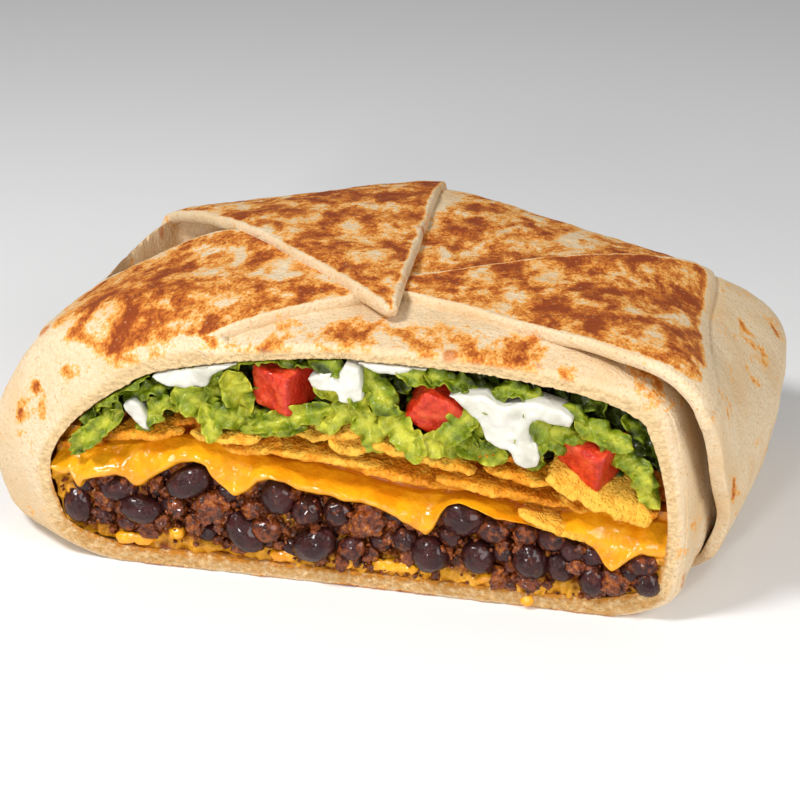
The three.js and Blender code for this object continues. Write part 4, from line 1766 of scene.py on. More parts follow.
@dataclass
class Beans:
    """Black beans, seasoned crumbles and sauce under the cheese."""

    section: Section
    level: float = 18.0
    seed: int = 4
    lump_tone: float = 0.7
    spots: tuple[BeanSpot, ...] = made_of(
        BeanSpot,
        (-57.8, 11.3, 8.3, 6, 80, 0.6, 0.1), (-56.3, 16.2, 5.2, 4.2, 0, -0.8, 0),
        (-49, 16, 8.7, 6, 0, 0.2, 0.15), (-44.2, 12.4, 8.8, 6.2, 6, 1.7, 0),
        (-52.8, 9.3, 5.6, 4.6, 30, -1, 0.3), (-47.6, 8.4, 4.8, 4.2, 0, -0.5, 0.5),
        (-42.9, 7.9, 4.7, 4.1, 0, 0.5, 0.7), (-38.2, 13.6, 6.2, 5, 0, -0.7, 0.2),
        (-33.7, 19.6, 10.2, 6.6, -24, 1.5, 0.08), (-29.8, 14.2, 8.2, 7, -40, 1.3, 0.75),
        (-33.2, 10.4, 4.8, 3.8, 80, 0.6, 0.9), (-31, 8, 5.2, 4.2, 0, -0.7, 0),
        (-26.4, 17.4, 5.4, 4.4, 0, -0.6, 0.2), (-22.9, 9.5, 10.2, 6.6, 48, 1.5, 0.05),
        (-18.6, 10.7, 6.5, 5.4, 10, 1.2, 0.55), (-21.3, 14.8, 4.6, 4, -30, 0.5, 0.95),
        (-16, 18, 8, 7.5, 60, 1.1, 0.1), (-13.4, 6.8, 5.2, 4.2, 0, -0.3, 0.2),
        (-10.3, 15.6, 6.8, 6.4, -60, 1, 0.3), (-3.9, 15.9, 6.4, 6, 20, 0.7, 0.25),
        (1.9, 15.3, 8.4, 7.2, -30, 1.4, 0.8), (6.8, 15.8, 6.4, 5.6, 0, -0.7, 0),
        (-8.7, 8.8, 9.4, 6.8, -26, 2.3, 0), (-1.2, 8.6, 6, 5.2, -20, 1.1, 0.4),
        (4.6, 10.4, 5.6, 5, 0, -0.4, 0.35), (9.4, 11.8, 5.4, 5, 70, 0.9, 0.25),
        (14.4, 9.3, 7.9, 7.5, 40, 2.1, 0), (18.3, 13.4, 5.4, 4.6, 30, 0.1, 0.3),
        (20.3, 18, 9.4, 7.6, 20, 1.3, 0.15), (23.8, 9.6, 7.6, 6.4, 65, 1.3, 0.05),
        (26.3, 15.8, 7.8, 5.2, 5, 0.5, 0.45), (28.7, 10.8, 5.2, 4.4, 0, -0.3, 0.2),
        (33, 16, 5.2, 4.6, 20, 0.7, 0.45), (34, 10.2, 7.7, 7, 70, 1.7, 0.1),
        (37.9, 15.2, 6, 5.4, 0, 0.7, 0.3), (39.6, 9.3, 6.8, 5.4, 60, 0.7, 0.05),
        (41.8, 13, 6.2, 4.8, 30, 0.3, 0.1), (42.7, 10.4, 3.8, 3.4, 0, 1.2, 0.8),
        (46.1, 7.3, 6.8, 5.8, 70, 1.3, 0.15), (45.8, 12.4, 6.2, 5.2, 0, 0.1, 0.1),
        (50, 7.8, 5.8, 5.2, 0, 1.5, 0.85), (53.2, 9.6, 5.4, 4.6, 0, 0.1, 0.1),
        (55.2, 12, 6.8, 4.9, -10, 0.9, 0.35), (56.4, 8, 6, 5.4, 60, 1.1, 0.1),
        (33.8, 5.9, 4.7, 3.4, 10, 1.1, 0.9),
    )  # fmt: skip

    @staticmethod
    def bean(name: str, seed: int) -> Piece:
        """One bean with a half length and width of a millimetre, slightly curved and dented.

        Args:
            name: Its name.
            seed: Draws its shape.

        Returns:
            The object.
        """
        made = ball(name, 4)
        points = points_of(made)
        bent = points + np.stack([0 * points[:, 0], 0 * points[:, 0], 0.13 * (points[:, 0] ** 2 - 0.3)], -1)
        dents = 0.05 * grain(bent, 0.8, seed, 2)
        creases = -0.055 * (1 - np.abs(grain(bent, 0.42, seed + 1, 2)) * 3.0).clip(0, 1) ** 2
        move_points(made, bent * (1 + dents + creases)[:, None])
        return made

    def build(self) -> None:
        """Builds and dresses the bean filling."""
        cut = self.section.form.cut
        random = np.random.default_rng(self.seed)
        lot, lumps = Lot(), Lot()
        for spot in self.spots:
            size = (spot.length / 2, spot.width / 2, spot.width / 2)
            place = (spot.x, cut + spot.width * 0.38 - spot.out, spot.z)
            turn = (random.uniform(-0.4, 0.4), math.radians(spot.turn), random.uniform(-0.3, 0.3))
            chosen = lumps if spot.tone >= self.lump_tone else lot
            chosen.add(place, turn, size, int(random.integers(4)), spot.tone)
        for level in (7.5, 12.5, 17.0):
            for x in np.arange(-57, 58, 7.4):
                z = float(self.section.height(level, x)) + random.uniform(-1.2, 1.2)
                half = random.uniform(2.9, 3.9)
                place = (x + random.uniform(-2, 2), cut + 4.6, z)
                turn = tuple(random.uniform(-1.5, 1.5, 3))
                sizes = (half, half * 0.8, half * 0.8)
                lot.add(place, turn, sizes, int(random.integers(4)), random.uniform(0.1, 0.6))
        patterns = [self.bean(f"bean_{i}", 20 + i) for i in range(4)]
        dress(lot.laid("beans", patterns), Finish.BEAN, "bean_filling")
        patterns = [lumpy_ball(f"lump_{i}", 5, 0.5, 0.28, 50 + i) for i in range(4)]
        dress(lumps.laid("bean_lumps", patterns), Finish.CRUMBLE, "bean_filling")
        self.build_crumbles(random)
        self.build_sauce()
        core = self.section.core("bean_core", -60, self.level - 0.3, 6.0)
        dress(core, Finish.SAUCE, "bean_filling")

    def build_crumbles(self, random: np.random.Generator) -> None:
        """Lays the crumbles between the beans, and finer grains over them.

        Args:
            random: Draws their places.
        """
        cut = self.section.form.cut
        large, fine = Lot(), Lot()
        for lot, count, low, high, nearest, deepest in (
            (large, 170, 0.9, 1.9, 0.5, 2.6),
            (fine, 900, 0.22, 0.55, 0.1, 1.9),
        ):
            for _ in range(count):
                level, x = random.uniform(3.6, 18.6), random.uniform(-61, 59)
                size = random.uniform(low, high)
                height = float(self.section.height(level, x))
                place = np.array((x, cut + random.uniform(nearest, deepest), height))
                place = self.section.held(place, size + 0.2)
                hem = curve(Cheese.lower_edge, place[:1], 0.9)[0]
                if place[2] > hem - size:
                    place[1:] = max(place[1], cut + 1.7), min(place[2], hem)
                tone = random.random() * 0.7 + 0.3 * (level < 7.5)
                sizes = tuple(size * random.uniform(0.7, 1.2, 3))
                turn = tuple(random.uniform(-3, 3, 3))
                lot.add(tuple(place), turn, sizes, int(random.integers(4)), tone)
        for name, lot, detail in (("bean_crumbles", large, 3), ("bean_grains", fine, 2)):
            patterns = [lumpy_ball(f"{name}_{i}", detail, 0.75, 0.5, 40 + i) for i in range(4)]
            dress(lot.laid(name, patterns), Finish.CRUMBLE, "bean_filling")

    def build_sauce(self) -> None:
        """The sauce between the beans, as an uneven front."""
        x, level = np.meshgrid(np.linspace(-64, 61, 420), np.linspace(0, 1, 60))
        z = mixed(self.section.form.floor - 0.3, self.section.height(self.level + 3.0, x), level)
        level = np.maximum(z, self.section.height(3.9, x))
        place = np.stack([x, 0 * x, z], -1)
        low = 1 - smooth(4.5, 8.0, level)
        ends = smooth(54, 60, np.abs(x + 1))
        covered = smooth(0.5, 2.0, z - curve(Cheese.lower_edge, x, 0.9))
        depth = 2.3 - 1.5 * grain(place, 5, 3, 3) - 0.6 * grain(place, 1.5, 5, 3)
        depth = depth - 1.5 * np.maximum(low, ends) + 3.0 * covered
        face = np.stack([x, self.section.form.cut + depth, z], -1)
        made = self.section.front("bean_sauce", face)
        golden = np.clip(0.85 * low + 0.9 * ends, 0, 1)
        store(made, "golden", np.tile(golden.reshape(-1), 2))
        dress(made, Finish.SAUCE, "bean_filling")


def curve(knots: Sequence[Pair], x: Array, softness: float) -> Array:
    """A soft curve through knots.

    Args:
        knots: Places and heights, from left to right.
        x: Where to read the curve.
        softness: Length of its rounded corners.

    Returns:
        The heights.
    """
    places, heights = zip(*knots)
    steps = np.linspace(-softness, softness, 9)
    weights = np.cos(steps / softness * math.pi / 2) ** 2
    values = np.interp(x[..., None] + steps, places, heights)
    return (values * weights).sum(-1) / weights.sum()


@dataclass
class Cheese:
    """Melted cheese that hangs down over the beans."""

    section: Section
    lower_edge: tuple[Pair, ...] = (
        (-64, 19), (-60.5, 17.6), (-58.3, 18.8), (-56.6, 15.4), (-55.2, 17.8), (-53, 18.9), (-49, 19.4),
        (-46.5, 19.2), (-45, 17.4), (-43, 18.2), (-40.5, 20.4), (-38, 22), (-36, 23.2), (-32, 24.3),
        (-29.8, 23.4), (-28.5, 20.9), (-26.5, 19.4), (-24.3, 17.5), (-21.5, 19.2), (-19.8, 21.2),
        (-17, 22.2), (-14, 22), (-11.5, 20.2), (-9, 19.8), (-6, 19.8), (-3, 19.1), (1, 19), (4, 18.5),
        (7, 17.4), (9.5, 15.6), (12, 14.2), (13.7, 13.1), (15.2, 14.9), (16.5, 18.2), (18, 20.8),
        (20, 21.6), (22.5, 20.8), (25, 19.6), (27.5, 18.6), (30, 18.4), (33, 18.2), (36, 17.5),
        (40, 16.8), (42, 16.4), (44, 15.6), (46.4, 13.8), (48, 11.6), (49.6, 9.9), (51, 11.2),
        (53, 13.2), (55, 14.2), (57, 13.4), (61, 13),
    )  # fmt: skip
    upper_edge: tuple[Pair, ...] = (
        (-64, 21), (-61, 22.6), (-57, 23.4), (-52, 24.2), (-48, 25), (-44, 26), (-40, 27), (-35, 27.8),
        (-28, 28.2), (-24, 27.4), (-21, 26.2), (-17, 25.3), (-12, 24.8), (-7, 24.1), (-2, 23.3),
        (3, 22.3), (8, 21.5), (12, 21), (17, 21.4), (20, 22.4), (24, 21.8), (28, 20.7), (31, 19.8),
        (36, 19.2), (41, 20), (44, 21.2), (47, 21.4), (51, 20.8), (55, 20), (61, 18.4),
    )  # fmt: skip
    puddles: tuple[Point, ...] = (
        (-46.3, 5.3, 4), (-15.2, 5.2, 2.8), (7.4, 5.6, 4.8), (-2.6, 5.2, 2), (26.5, 5.2, 2.6),
        (-37.3, 7.6, 1.8),
    )  # fmt: skip
    crumb: Pair = (33.8, 1.8)
    lip: float = 1.4

    def build(self) -> None:
        """Builds and dresses the melted cheese."""
        cut = self.section.form.cut
        x, share = np.meshgrid(np.linspace(-63.5, 60.5, 420), np.linspace(0, 1, 44))
        low, high = curve(self.lower_edge, x, 0.9), curve(self.upper_edge, x, 2.0)
        z = low + (high - low) * share
        above = z - low
        place = np.stack([x, 0 * x, z], -1)
        rounding = self.lip * (1 - np.sqrt(np.clip(1 - (1 - np.minimum(above / self.lip, 1)) ** 2, 0, 1)))
        lean = 4.5 * smooth(0.4, 1.15, share)
        waves = 0.75 * grain(place, 7, 12, 2) + 0.22 * grain(place, 2.2, 14, 2)
        bead = 0.5 * np.exp(-(((above - 1.6) / 1.3) ** 2)) - 1.2 * smooth(55, 61, np.abs(x + 1))
        face = np.stack([x, cut - 0.9 + rounding * 1.6 + lean - waves - bead, z], -1)
        made = self.section.front("melted_cheese_front", face)
        dress(made, Finish.CHEESE, "melted_cheese")
        lot = Lot()
        for x_place, z_place, wide in self.puddles:
            for part in (-0.55, 0.0, 0.55):
                size = wide * (0.5 if part else 0.72)
                place = (x_place + part * wide, cut + 0.9, z_place + 0.2 * part)
                lot.add(place, (0, 0.1, 0), (size, 1.4, 1.35), 0, 0.5)
        lot.add((self.crumb[0], cut - 0.3, self.crumb[1]), (0, 0.1, 0), (1.5, 0.9, 1.1), 0, 0.5)
        drops = remeshed(lot.laid("cheese_puddles", [ball("drop", 3)]), 0.4, 8)
        points = points_of(drops)
        move_points(drops, points + 0.35 * grain(points, 1.8, 33, 2)[:, None])
        dress(drops, Finish.CHEESE, "melted_cheese")
        dress(self.section.core("cheese_core", 18.2, 24.0, 5.5), Finish.CHEESE, "melted_cheese")


@dataclass(frozen=True)
class ChipSpot:
    """A chip that shows: the ends of its front edge, and how it lies."""

    left: Pair
    right: Pair
    deep: float
    nod: float
    yaw: float
    tone: float
    out: float
    taper: float = 0.35


@dataclass
class Chips:
    """Broken corn chips that lie over each other in a layer."""

    section: Section
    thick: float = 1.6
    columns: int = 64
    rows: int = 38
    spots: tuple[ChipSpot, ...] = made_of(
        ChipSpot,
        ((-49.5, 27.2), (-34, 29.8), 12, 16, 4, 0.6, 0.4),
        ((-38, 30.6), (-29, 32.6), 10, 14, 0, 0.85, -1.6),
        ((-33.6, 29.5), (-19, 30.6), 11, 14, -6, 0.08, 1.5),
        ((-26.2, 27.6), (-14.5, 28.6), 11, 10, 8, 0.45, 0.8),
        ((-22, 31.4), (-12, 32.2), 10, 12, 0, 0.7, -0.8),
        ((-17.4, 28.6), (6, 26.4), 14, 10, 4, 0.35, 1.2, 0.2),
        ((-13.8, 31.8), (2, 33.6), 12, 16, -6, 0.08, 0.9),
        ((-5.5, 30.6), (4, 30.2), 9, 22, 10, 0.15, 1.1, 0.7),
        ((1, 32.6), (23, 27.6), 14, 16, 2, 0.28, 1.7, 0.2),
        ((0, 26.3), (21.5, 23.6), 13, 8, 3, 0.62, 0.6), ((23.6, 28.8), (40, 27.4), 13, 9, -4, 0.62, 1),
        ((14.5, 25.7), (42.5, 22.6), 14, 8, 2, 0.55, 0.9, 0.15),
        ((22, 31), (34, 30.4), 11, 10, 0, 0.75, -0.6), ((31.3, 20.6), (46.5, 15.9), 12, 10, 3, 0.12, 2),
        ((39, 23.4), (47, 22.4), 10, 10, 0, 0.6, 0.2),
        ((36.2, 28.6), (56.5, 20.2), 14, 30, 5, 0.05, 2.8, 0.25),
        ((-61, 23.8), (-52, 25.8), 9, 8, 0, 0.8, -0.9), ((50, 23), (58, 21.5), 10, 8, 0, 0.7, -0.6),
    )  # fmt: skip

    def plate(self, spot: ChipSpot, seed: int) -> Piece:
        """One chip, a rough bent plate with broken edges.

        Args:
            spot: The chip's place and size.
            seed: Draws its outline and bubbles.

        Returns:
            The chip at its place.
        """
        wide = math.dist(spot.left, spot.right)
        u, w = np.meshgrid(np.linspace(-1, 1, self.columns), np.linspace(-1, 1, self.rows))
        rim = np.maximum(np.abs(u), np.abs(w))
        corner = rim / np.maximum((np.abs(u) ** 12 + np.abs(w) ** 12) ** (1 / 12), 1e-6)
        u, w = u * corner, w * corner
        v = (w + 1) / 2
        place = np.stack([u * wide / 2, v * spot.deep, 0 * u + seed * 3.0], -1)
        x = u * wide / 2 * (1 - spot.taper * v**1.3)
        y = v * spot.deep + 1.3 * u * u * (1 - v)
        ragged = (0.75 * grain(place, 2.4, seed, 3) + 0.6 * grain(place, 7.0, seed + 1, 2)) * rim**8
        x, y = x + ragged * np.sign(u) * np.abs(u), y + ragged
        bend = 1.2 * (u * u - 0.4) * math.cos(seed * 1.7) + 1.0 * v * math.sin(seed * 2.3)
        wave = 0.45 * grain(place, 5, seed + 2, 2)
        thin = np.sqrt(np.clip(1 - rim**14, 0.03, 1))
        half = self.thick / 2 * thin
        bubbles = 0.24 * grain(place, 1.5, seed + 4, 3) + 0.16 * grain(place, 0.6, seed + 5, 1)
        up = bend + wave + half + bubbles * thin
        down = bend + wave - half - 0.26 * grain(place, 1.4, seed + 6, 3) * thin
        (left_x, left_z), (right_x, right_z) = spot.left, spot.right
        tilt = math.degrees(math.atan2(left_z - right_z, right_x - left_x))
        middle = ((left_x + right_x) / 2, self.section.form.cut - spot.out, (left_z + right_z) / 2)
        top = turned(np.stack([x, y, up], -1), spot.nod, tilt, spot.yaw) + middle
        bottom = turned(np.stack([x, y, down], -1), spot.nod, tilt, spot.yaw) + middle
        made = slab("chip", self.section.held(top, 0.5), self.section.held(bottom, 0.5))
        store(made, "tone", np.full(len(made.data.vertices), spot.tone))
        return made

    def build(self) -> None:
        """Builds and dresses the chips."""
        made = joined("corn_chip_layer", [self.plate(spot, 60 + i) for i, spot in enumerate(self.spots)])
        dress(made, Finish.CORN, "corn_chips")
        core = self.section.core("chip_core", 24.8, 31.2, 8.0)
        store(core, "tone", np.full(len(core.data.vertices), 0.9))
        dress(core, Finish.CORN, "corn_chips")


def joined(name: str, pieces: Sequence[Piece]) -> Piece:
    """Joins pieces into one object.

    Args:
        name: The new object's name.
        pieces: The objects, used up.

    Returns:
        The joined object.
    """
    first = pieces[0]
    with bpy.context.temp_override(active_object=first, selected_editable_objects=list(pieces)):
        bpy.ops.object.join()
    first.name = name
    return first


@dataclass(frozen=True)
class ShredSpot:
    """A shred of lettuce that shows: place on the cut, size, how it lies and how pale it is."""

    x: float
    z: float
    length: float
    width: float
    turn: float
    lean: float
    out: float
    tone: float


@dataclass
class Lettuce:
    """Shredded lettuce over the chips."""

    section: Section
    chips_top: float = 31.5
    thick: float = 0.4
    columns: int = 56
    rows: int = 19
    spots: tuple[ShredSpot, ...] = made_of(
        ShredSpot,
        (-52.5, 28.8, 15, 4.8, -43, 15, 1.3, 0.55), (-51.5, 33, 10, 5.5, -30, 40, 0.7, 0.35),
        (-55, 30, 8, 4.5, -50, 40, 0.1, 0.15), (-46.5, 38.4, 13, 5, -30, 45, 0.5, 0.5),
        (-50, 35.6, 8, 4.5, -40, 45, 0.3, 0.45), (-40.6, 33.6, 12, 5, -42, 25, 1, 0.6),
        (-42.5, 37.6, 10, 4.5, -12, 50, 0.3, 0.3), (-30.8, 36.5, 12, 7, 32, 20, 1.3, 0.7),
        (-28.8, 33.4, 8, 4.5, 75, 15, 1.5, 0.8), (-27.4, 40.5, 9, 5, 80, 25, 1.3, 0.55),
        (-34.3, 38.6, 9, 5, -60, 30, 0.9, 0.6), (-23.5, 40.2, 10, 6.5, 68, 20, 1, 0.85),
        (-26, 37, 9, 5.5, 45, 22, 1.1, 0.45), (-18.2, 33.6, 17, 5, -4, 30, 1.2, 0.6),
        (-24.2, 34.6, 10, 5.5, 12, 25, 1.1, 0.6), (-33, 46.4, 11, 4, -14, 60, 0.4, 0.5),
        (-22.5, 47, 13, 4, -4, 60, 0.5, 0.5), (-13.5, 47.8, 10, 3.5, 0, 60, 0.3, 0.25),
        (-12, 35.8, 17, 5, -20, 28, 1.5, 0.7), (-17.5, 36.4, 9, 4, 5, 40, 0.9, 0.45),
        (-5.5, 47.2, 8, 5, 25, 40, 1, 0.3), (-5.2, 42.3, 6.5, 4, 10, 35, 1.4, 0.9),
        (-3.4, 37.4, 10, 6, -38, 20, 1.7, 0.95), (2.4, 35.6, 12, 6, 60, 15, 1.8, 0.9),
        (4.2, 43.4, 11, 6.5, 58, 20, 1.3, 0.4), (1.6, 40.6, 7, 5, 30, 25, 1.3, 0.65),
        (8.8, 35.8, 13, 7, 48, 12, 2, 0.95), (11.5, 46.3, 8, 4.5, 10, 45, 1, 0.6),
        (18, 46, 10, 4.5, 5, 50, 0.8, 0.5), (25, 45.3, 10, 4.5, 8, 50, 0.7, 0.3),
        (31, 44.6, 10, 4, 12, 50, 0.6, 0.4), (17.5, 33.4, 12, 6, -3, 22, 1.8, 0.9),
        (24.2, 32.8, 10, 5.5, 10, 22, 1.6, 0.8), (20.2, 38, 10, 6, -50, 22, 1.6, 0.6),
        (24, 37.2, 9, 5, 75, 25, 1.4, 0.45), (27.7, 34.4, 9, 5, -45, 22, 1.6, 0.6),
        (34, 33.4, 8, 6, -60, 22, 1.5, 0.5), (37, 38, 13, 7, 35, 28, 1.4, 0.4),
        (41.5, 38.4, 10, 5, -10, 42, 1.1, 0.5), (46.5, 38.3, 12, 5, 28, 42, 1, 0.55),
        (48.4, 35.4, 6, 4, 60, 15, 2.2, 0.7), (52.4, 33.2, 10, 5.5, 50, 25, 1.4, 0.6),
        (55.2, 28.6, 10, 5.5, 66, 18, 1.4, 0.75), (42.8, 41.4, 9, 3.5, 20, 55, 0.5, 0.35),
    )  # fmt: skip

    def shred(self, spot: ShredSpot, seed: int) -> Piece:
        """One shred, a thin ruffled ribbon.

        Args:
            spot: The shred's place and size.
            seed: Draws its ruffles.

        Returns:
            The shred at its place.
        """
        random = np.random.default_rng(seed)
        coarse = 1 if spot.out > -1.5 else 2
        counts = self.columns // coarse, self.rows // coarse
        u, v = np.meshgrid(*(np.linspace(-0.5, 0.5, count) for count in counts))
        phase = random.uniform(0, 6.28, 4)
        taper = np.sqrt(np.clip(1 - (2 * np.abs(u)) ** 3.0, 0.06, 1))
        x = u * spot.length
        rim = np.stack([x, np.sign(v) * 3, 0 * u + seed * 2.0], -1)
        ragged = 1 + 0.22 * grain(rim, 2.4, seed, 3)
        y = v * spot.width * 0.88 * taper * ragged
        flat = np.stack([x, y, 0 * u + seed * 2.0], -1)
        frill = np.abs(2 * v) ** 1.4
        wave = 2 * math.pi * x / random.uniform(4.2, 5.6)
        side = np.sign(v)
        ruffle = frill * (1.05 * np.sin(wave + phase[0] + side) + 0.50 * np.sin(2.3 * wave + phase[1] - side))
        arch = 1.5 * np.sin(u * random.uniform(2.5, 4.5) + phase[2]) + random.uniform(-3, 3) * (u * u - 0.1)
        cup = random.uniform(-0.9, 0.9) * (2 * v) ** 2
        crinkle = 0.60 * grain(flat, 2.3, seed, 2) + 0.20 * grain(flat, 0.9, seed + 1, 2)
        middle = np.stack([x, y, ruffle + arch + cup + crinkle], -1)
        normal = np.cross(np.gradient(middle, axis=1), np.gradient(middle, axis=0))
        normal = normal / np.linalg.norm(normal, axis=-1, keepdims=True)
        edge = np.maximum(np.abs(2 * u), np.abs(2 * v)) ** 10
        half = normal * (self.thick / 2 * (1 - 0.8 * edge))[..., None]
        place = (spot.x, self.section.form.cut + 2.0 - spot.out, spot.z)
        sides = (turned(side, 90 - spot.lean, 0, 0) for side in (middle + half, middle - half))
        made = slab("shred", *(self.section.held(turned(side, 0, spot.turn, 0) + place) for side in sides))
        rib = np.clip(1 - np.abs(2 * v) * 1.6, 0, 1) * 0.35 + edge * 0.25 + spot.tone * 0.75
        store(made, "rib", np.tile(rib.reshape(-1), 2))
        return made

    def hidden_spots(self) -> list[ShredSpot]:
        """Shreds further back that close the gaps.

        Returns:
            Their places.
        """
        random = np.random.default_rng(21)
        form, found = self.section.form, []
        for x in np.arange(-54, 57, 5.0):
            low = float(self.section.height(self.chips_top, x)) + 2.0
            high = float(form.crown_height(np.array(x), np.array(form.cut))) - form.top - 3.0
            for share in (0.1, 0.5, 0.9):
                z = mixed(low, max(low, high), share) + random.uniform(-0.8, 0.8)
                size = (random.uniform(8, 12), random.uniform(4, 6))
                lie = (random.uniform(-70, 70), random.uniform(10, 70))
                place = (x + random.uniform(-2, 2), float(z))
                out, tone = random.uniform(-4.0, -1.8), random.uniform(0, 0.35)
                found.append(ShredSpot(*place, *size, *lie, out, tone))
        return found

    def build(self) -> None:
        """Builds and dresses the lettuce."""
        spots = [*self.spots, *self.hidden_spots()]
        shreds = [self.shred(spot, 100 + i) for i, spot in enumerate(spots)]
        shown = len(self.spots)
        dress(joined("lettuce_shreds", shreds[:shown]), Finish.LEAF, "lettuce")
        dress(joined("lettuce_shreds_behind", shreds[shown:]), Finish.LEAF, "lettuce")
        dress(self.section.core("lettuce_core", 31.8, 70.0, 8.5), Finish.LEAF, "lettuce")


@dataclass(frozen=True)
class Dice:
    """A piece of diced tomato: its middle, its size and how it lies."""

    x: float
    back: float
    z: float
    size: Point
    nod: float
    turn: float
    yaw: float


@dataclass
class Tomatoes:
    """The three dice of tomato among the lettuce."""

    section: Section
    dice: tuple[Dice, ...] = (
        Dice(-14.6, 4.4, 41.3, (9.6, 9.6, 8.6), 4, -4, -30),
        Dice(15.0, 4.0, 40.3, (9.2, 9.0, 8.8), 18, 24, 12),
        Dice(44.6, 4.2, 32.6, (10.0, 9.6, 8.8), 14, 6, -30),
    )

    def build(self) -> None:
        """Builds and dresses the tomatoes."""
        for number, dice in enumerate(self.dice, 1):
            built = bmesh.new()
            bmesh.ops.create_cube(built, size=2.0)
            bmesh.ops.subdivide_edges(built, edges=built.edges, cuts=27, use_grid_fill=True)
            points = np.array([tuple(v.co) for v in built.verts])
            faces = [[v.index for v in f.verts] for f in built.faces]
            built.free()
            skin = smooth(0.96, 1.0, points[:, 0])
            soft = points / np.maximum(1.0, (np.abs(points) ** 10).sum(-1, keepdims=True) ** 0.1)
            body = soft * np.array(dice.size) / 2
            body[:, 0] += 0.10 * soft[:, 2] * dice.size[0] / 2
            body[:, 2] += 0.08 * soft[:, 0] * soft[:, 1] * dice.size[2]
            uneven = 0.25 * grain(body, 4, 70 + number, 2) + 0.12 * grain(body, 1, number, 2) * (1 - skin)
            body += uneven[:, None] * soft
            place = (dice.x, self.section.form.cut + dice.back, dice.z)
            body = turned(body, dice.nod, dice.turn, dice.yaw) + place
            made = make_object(f"tomato_dice_{number}", body, faces)
            store(made, "skin", skin)
            dress(made, Finish.TOMATO, f"tomato_{number}")


@dataclass
class SourCream:
    """The patches of sour cream among the lettuce, by their outlines on the cut."""

    section: Section
    outlines: tuple[tuple[Pair, ...], ...] = (
        (
            (-40.2, 42.2), (-36.6, 44), (-32.7, 45.5), (-29.5, 46.2), (-25, 46.8), (-22.6, 46.6),
            (-26.2, 44.7), (-28.3, 43.2), (-29, 41), (-32.5, 40.2), (-36.5, 40.4), (-38.8, 41.2),
        ),
        (
            (-46.2, 35.9), (-44.4, 37.1), (-42.8, 36.2), (-41.5, 33.6), (-41.2, 30.4), (-43.1, 31.1),
            (-44.8, 33.4), (-46, 34.6),
        ),
        (
            (-9, 45), (-6.4, 46.6), (-3, 46.4), (-1.8, 48.6), (1, 48.1), (1.2, 45.7), (1.8, 41.8),
            (-0.5, 41), (-3.1, 40.7), (-3.3, 43), (-6, 42.9), (-8.3, 43.4),
        ),
        (
            (0.2, 50), (4.7, 50), (9.5, 49.8), (15.2, 49.6), (11.3, 48.6), (8.6, 47), (4.7, 46.9),
            (1.6, 48.2),
        ),
        (
            (17.6, 44.4), (24.9, 45.1), (27.9, 43.2), (31.4, 44.3), (34.6, 44.9), (39.3, 43.6), (41.4, 41.9),
            (40.6, 40.1), (37.5, 40.4), (34.9, 41.2), (33.5, 40.6), (33.4, 39.2), (34.6, 36.7), (35.5, 34.2),
            (35, 31.8), (32.8, 30.9), (30.5, 31.9), (29.6, 34.4), (27.7, 34.4), (25.2, 36.2), (23.9, 39.3),
            (21.4, 41.4), (19.8, 43.2),
        ),
    )  # fmt: skip
    proud: tuple[float, ...] = (0.6, 0.8, 1.2, 0.4, 1.9)
    deep: float = 6.0

    def build(self) -> None:
        """Builds and dresses the sour cream."""
        cut = self.section.form.cut
        for number, (outline, proud) in enumerate(zip(self.outlines, self.proud), 1):
            ring = np.array(outline)
            count = len(ring)
            front = np.stack([ring[:, 0], np.full(count, cut - proud), ring[:, 1]], -1)
            back = front + (0, self.deep, 0)
            faces: list[Sequence[int]] = [range(count), range(2 * count - 1, count - 1, -1)]
            faces += [((i + 1) % count, i, i + count, (i + 1) % count + count) for i in range(count)]
            made = make_object(f"sour_cream_patch_{number}", np.concatenate([front, back]), faces)
            remeshed(made, 0.36, 12)
            points = points_of(made)
            swell = 0.5 * grain(points, 5, 80 + number, 2) + 0.1 * grain(points, 1.6, 90 + number, 2)
            points[:, 1] -= swell * (1 - smooth(cut + 1, cut + 4, points[:, 1])) * 1.4
            move_points(made, self.section.held(points))
            dress(made, Finish.CREAM, f"sour_cream_{number}")


# ---------------- stage


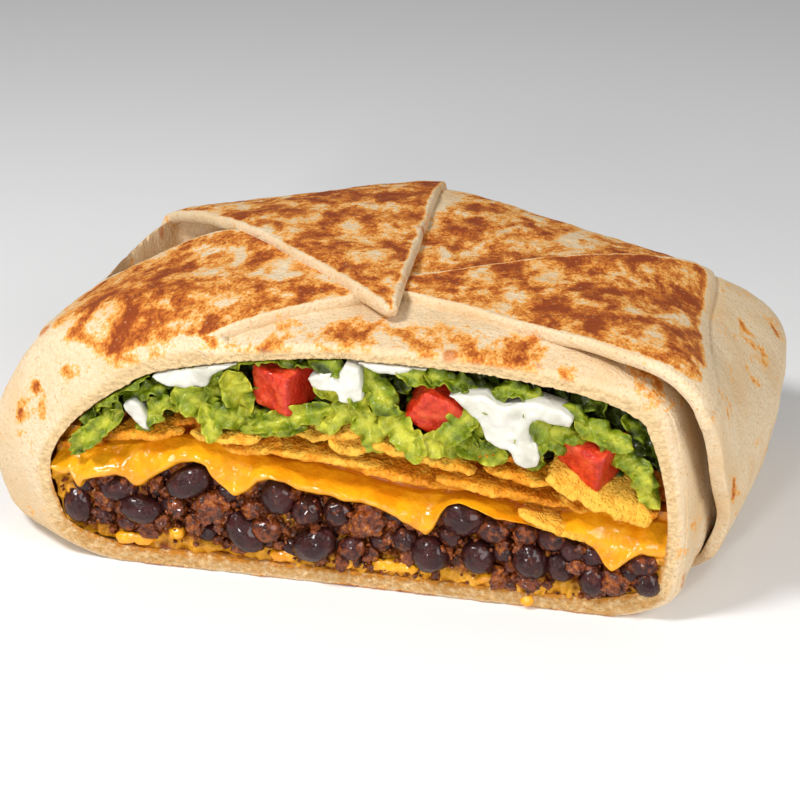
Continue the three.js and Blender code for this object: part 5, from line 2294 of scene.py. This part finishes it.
@dataclass
class Stage:
    """Floor, soft light and the camera at the photograph's angle."""

    azimuth: float = 12.3
    elevation: float = 25.6
    distance: float = 410.0
    target: Point = (-2.8, 10.0, 16.5)
    field_of_view: float = 24.0
    sensor: float = 36.0

    def build(self) -> None:
        """Builds the stage."""
        self.build_floor()
        self.build_lights()
        self.build_camera()
        bpy.context.scene.view_settings.view_transform = "Standard"

    def build_floor(self) -> None:
        """A plain pale floor."""
        half = 3000.0
        corners = np.array([(-half, -half, 0), (half, -half, 0), (half, half, 0), (-half, half, 0)])
        floor = make_object("floor", corners, [(0, 1, 2, 3)])
        paint = Paint("pale_floor")
        floor.data.materials.append(paint.finish((0.86, 0.86, 0.86), 0.9))

    def build_lights(self) -> None:
        """A broad key light from the upper left, a fill from the right and a pale surround."""
        world = bpy.data.worlds.new("surround")
        world.use_nodes = True
        background = world.node_tree.nodes["Background"]
        background.inputs["Color"].default_value = (1.0, 1.0, 1.0, 1.0)
        background.inputs["Strength"].default_value = 0.26
        bpy.context.scene.world = world
        for name, place, size, power in (
            ("key_light", (-260.0, -240.0, 520.0), 150.0, 2.6),
            ("fill_light", (430.0, -260.0, 300.0), 300.0, 1.4),
            ("front_light", (-60.0, -560.0, 180.0), 70.0, 1.2),
        ):
            light = bpy.data.lights.new(name, "AREA")
            light.shape = "DISK"
            light.size = size * MM
            light.energy = power
            made = bpy.data.objects.new(name, light)
            made.location = Vector(place) * MM
            made.rotation_euler = (Vector(self.target) - Vector(place)).to_track_quat("-Z", "Y").to_euler()
            bpy.context.scene.collection.objects.link(made)

    def build_camera(self) -> None:
        """The camera, without shift or depth of field."""
        azimuth, elevation = math.radians(self.azimuth), math.radians(self.elevation)
        level = math.cos(elevation)
        back = Vector((math.sin(azimuth) * level, -math.cos(azimuth) * level, math.sin(elevation)))
        camera = bpy.data.cameras.new("camera")
        camera.sensor_width = self.sensor
        camera.lens = self.sensor / 2 / math.tan(math.radians(self.field_of_view / 2))
        made = bpy.data.objects.new("camera", camera)
        made.location = (Vector(self.target) + back * self.distance) * MM
        made.rotation_euler = (-back).to_track_quat("-Z", "Y").to_euler()
        bpy.context.scene.collection.objects.link(made)
        bpy.context.scene.camera = made


def main() -> None:
    """Builds the wrap, its filling and the stage."""
    logging.basicConfig(level=logging.INFO, format="%(name)s: %(message)s")
    section = Section()
    Tortilla().build()
    Beans(section).build()
    Cheese(section).build()
    Chips(section).build()
    Lettuce(section).build()
    Tomatoes(section).build()
    SourCream(section).build()
    Stage().build()


if __name__ == "__main__":
    main()
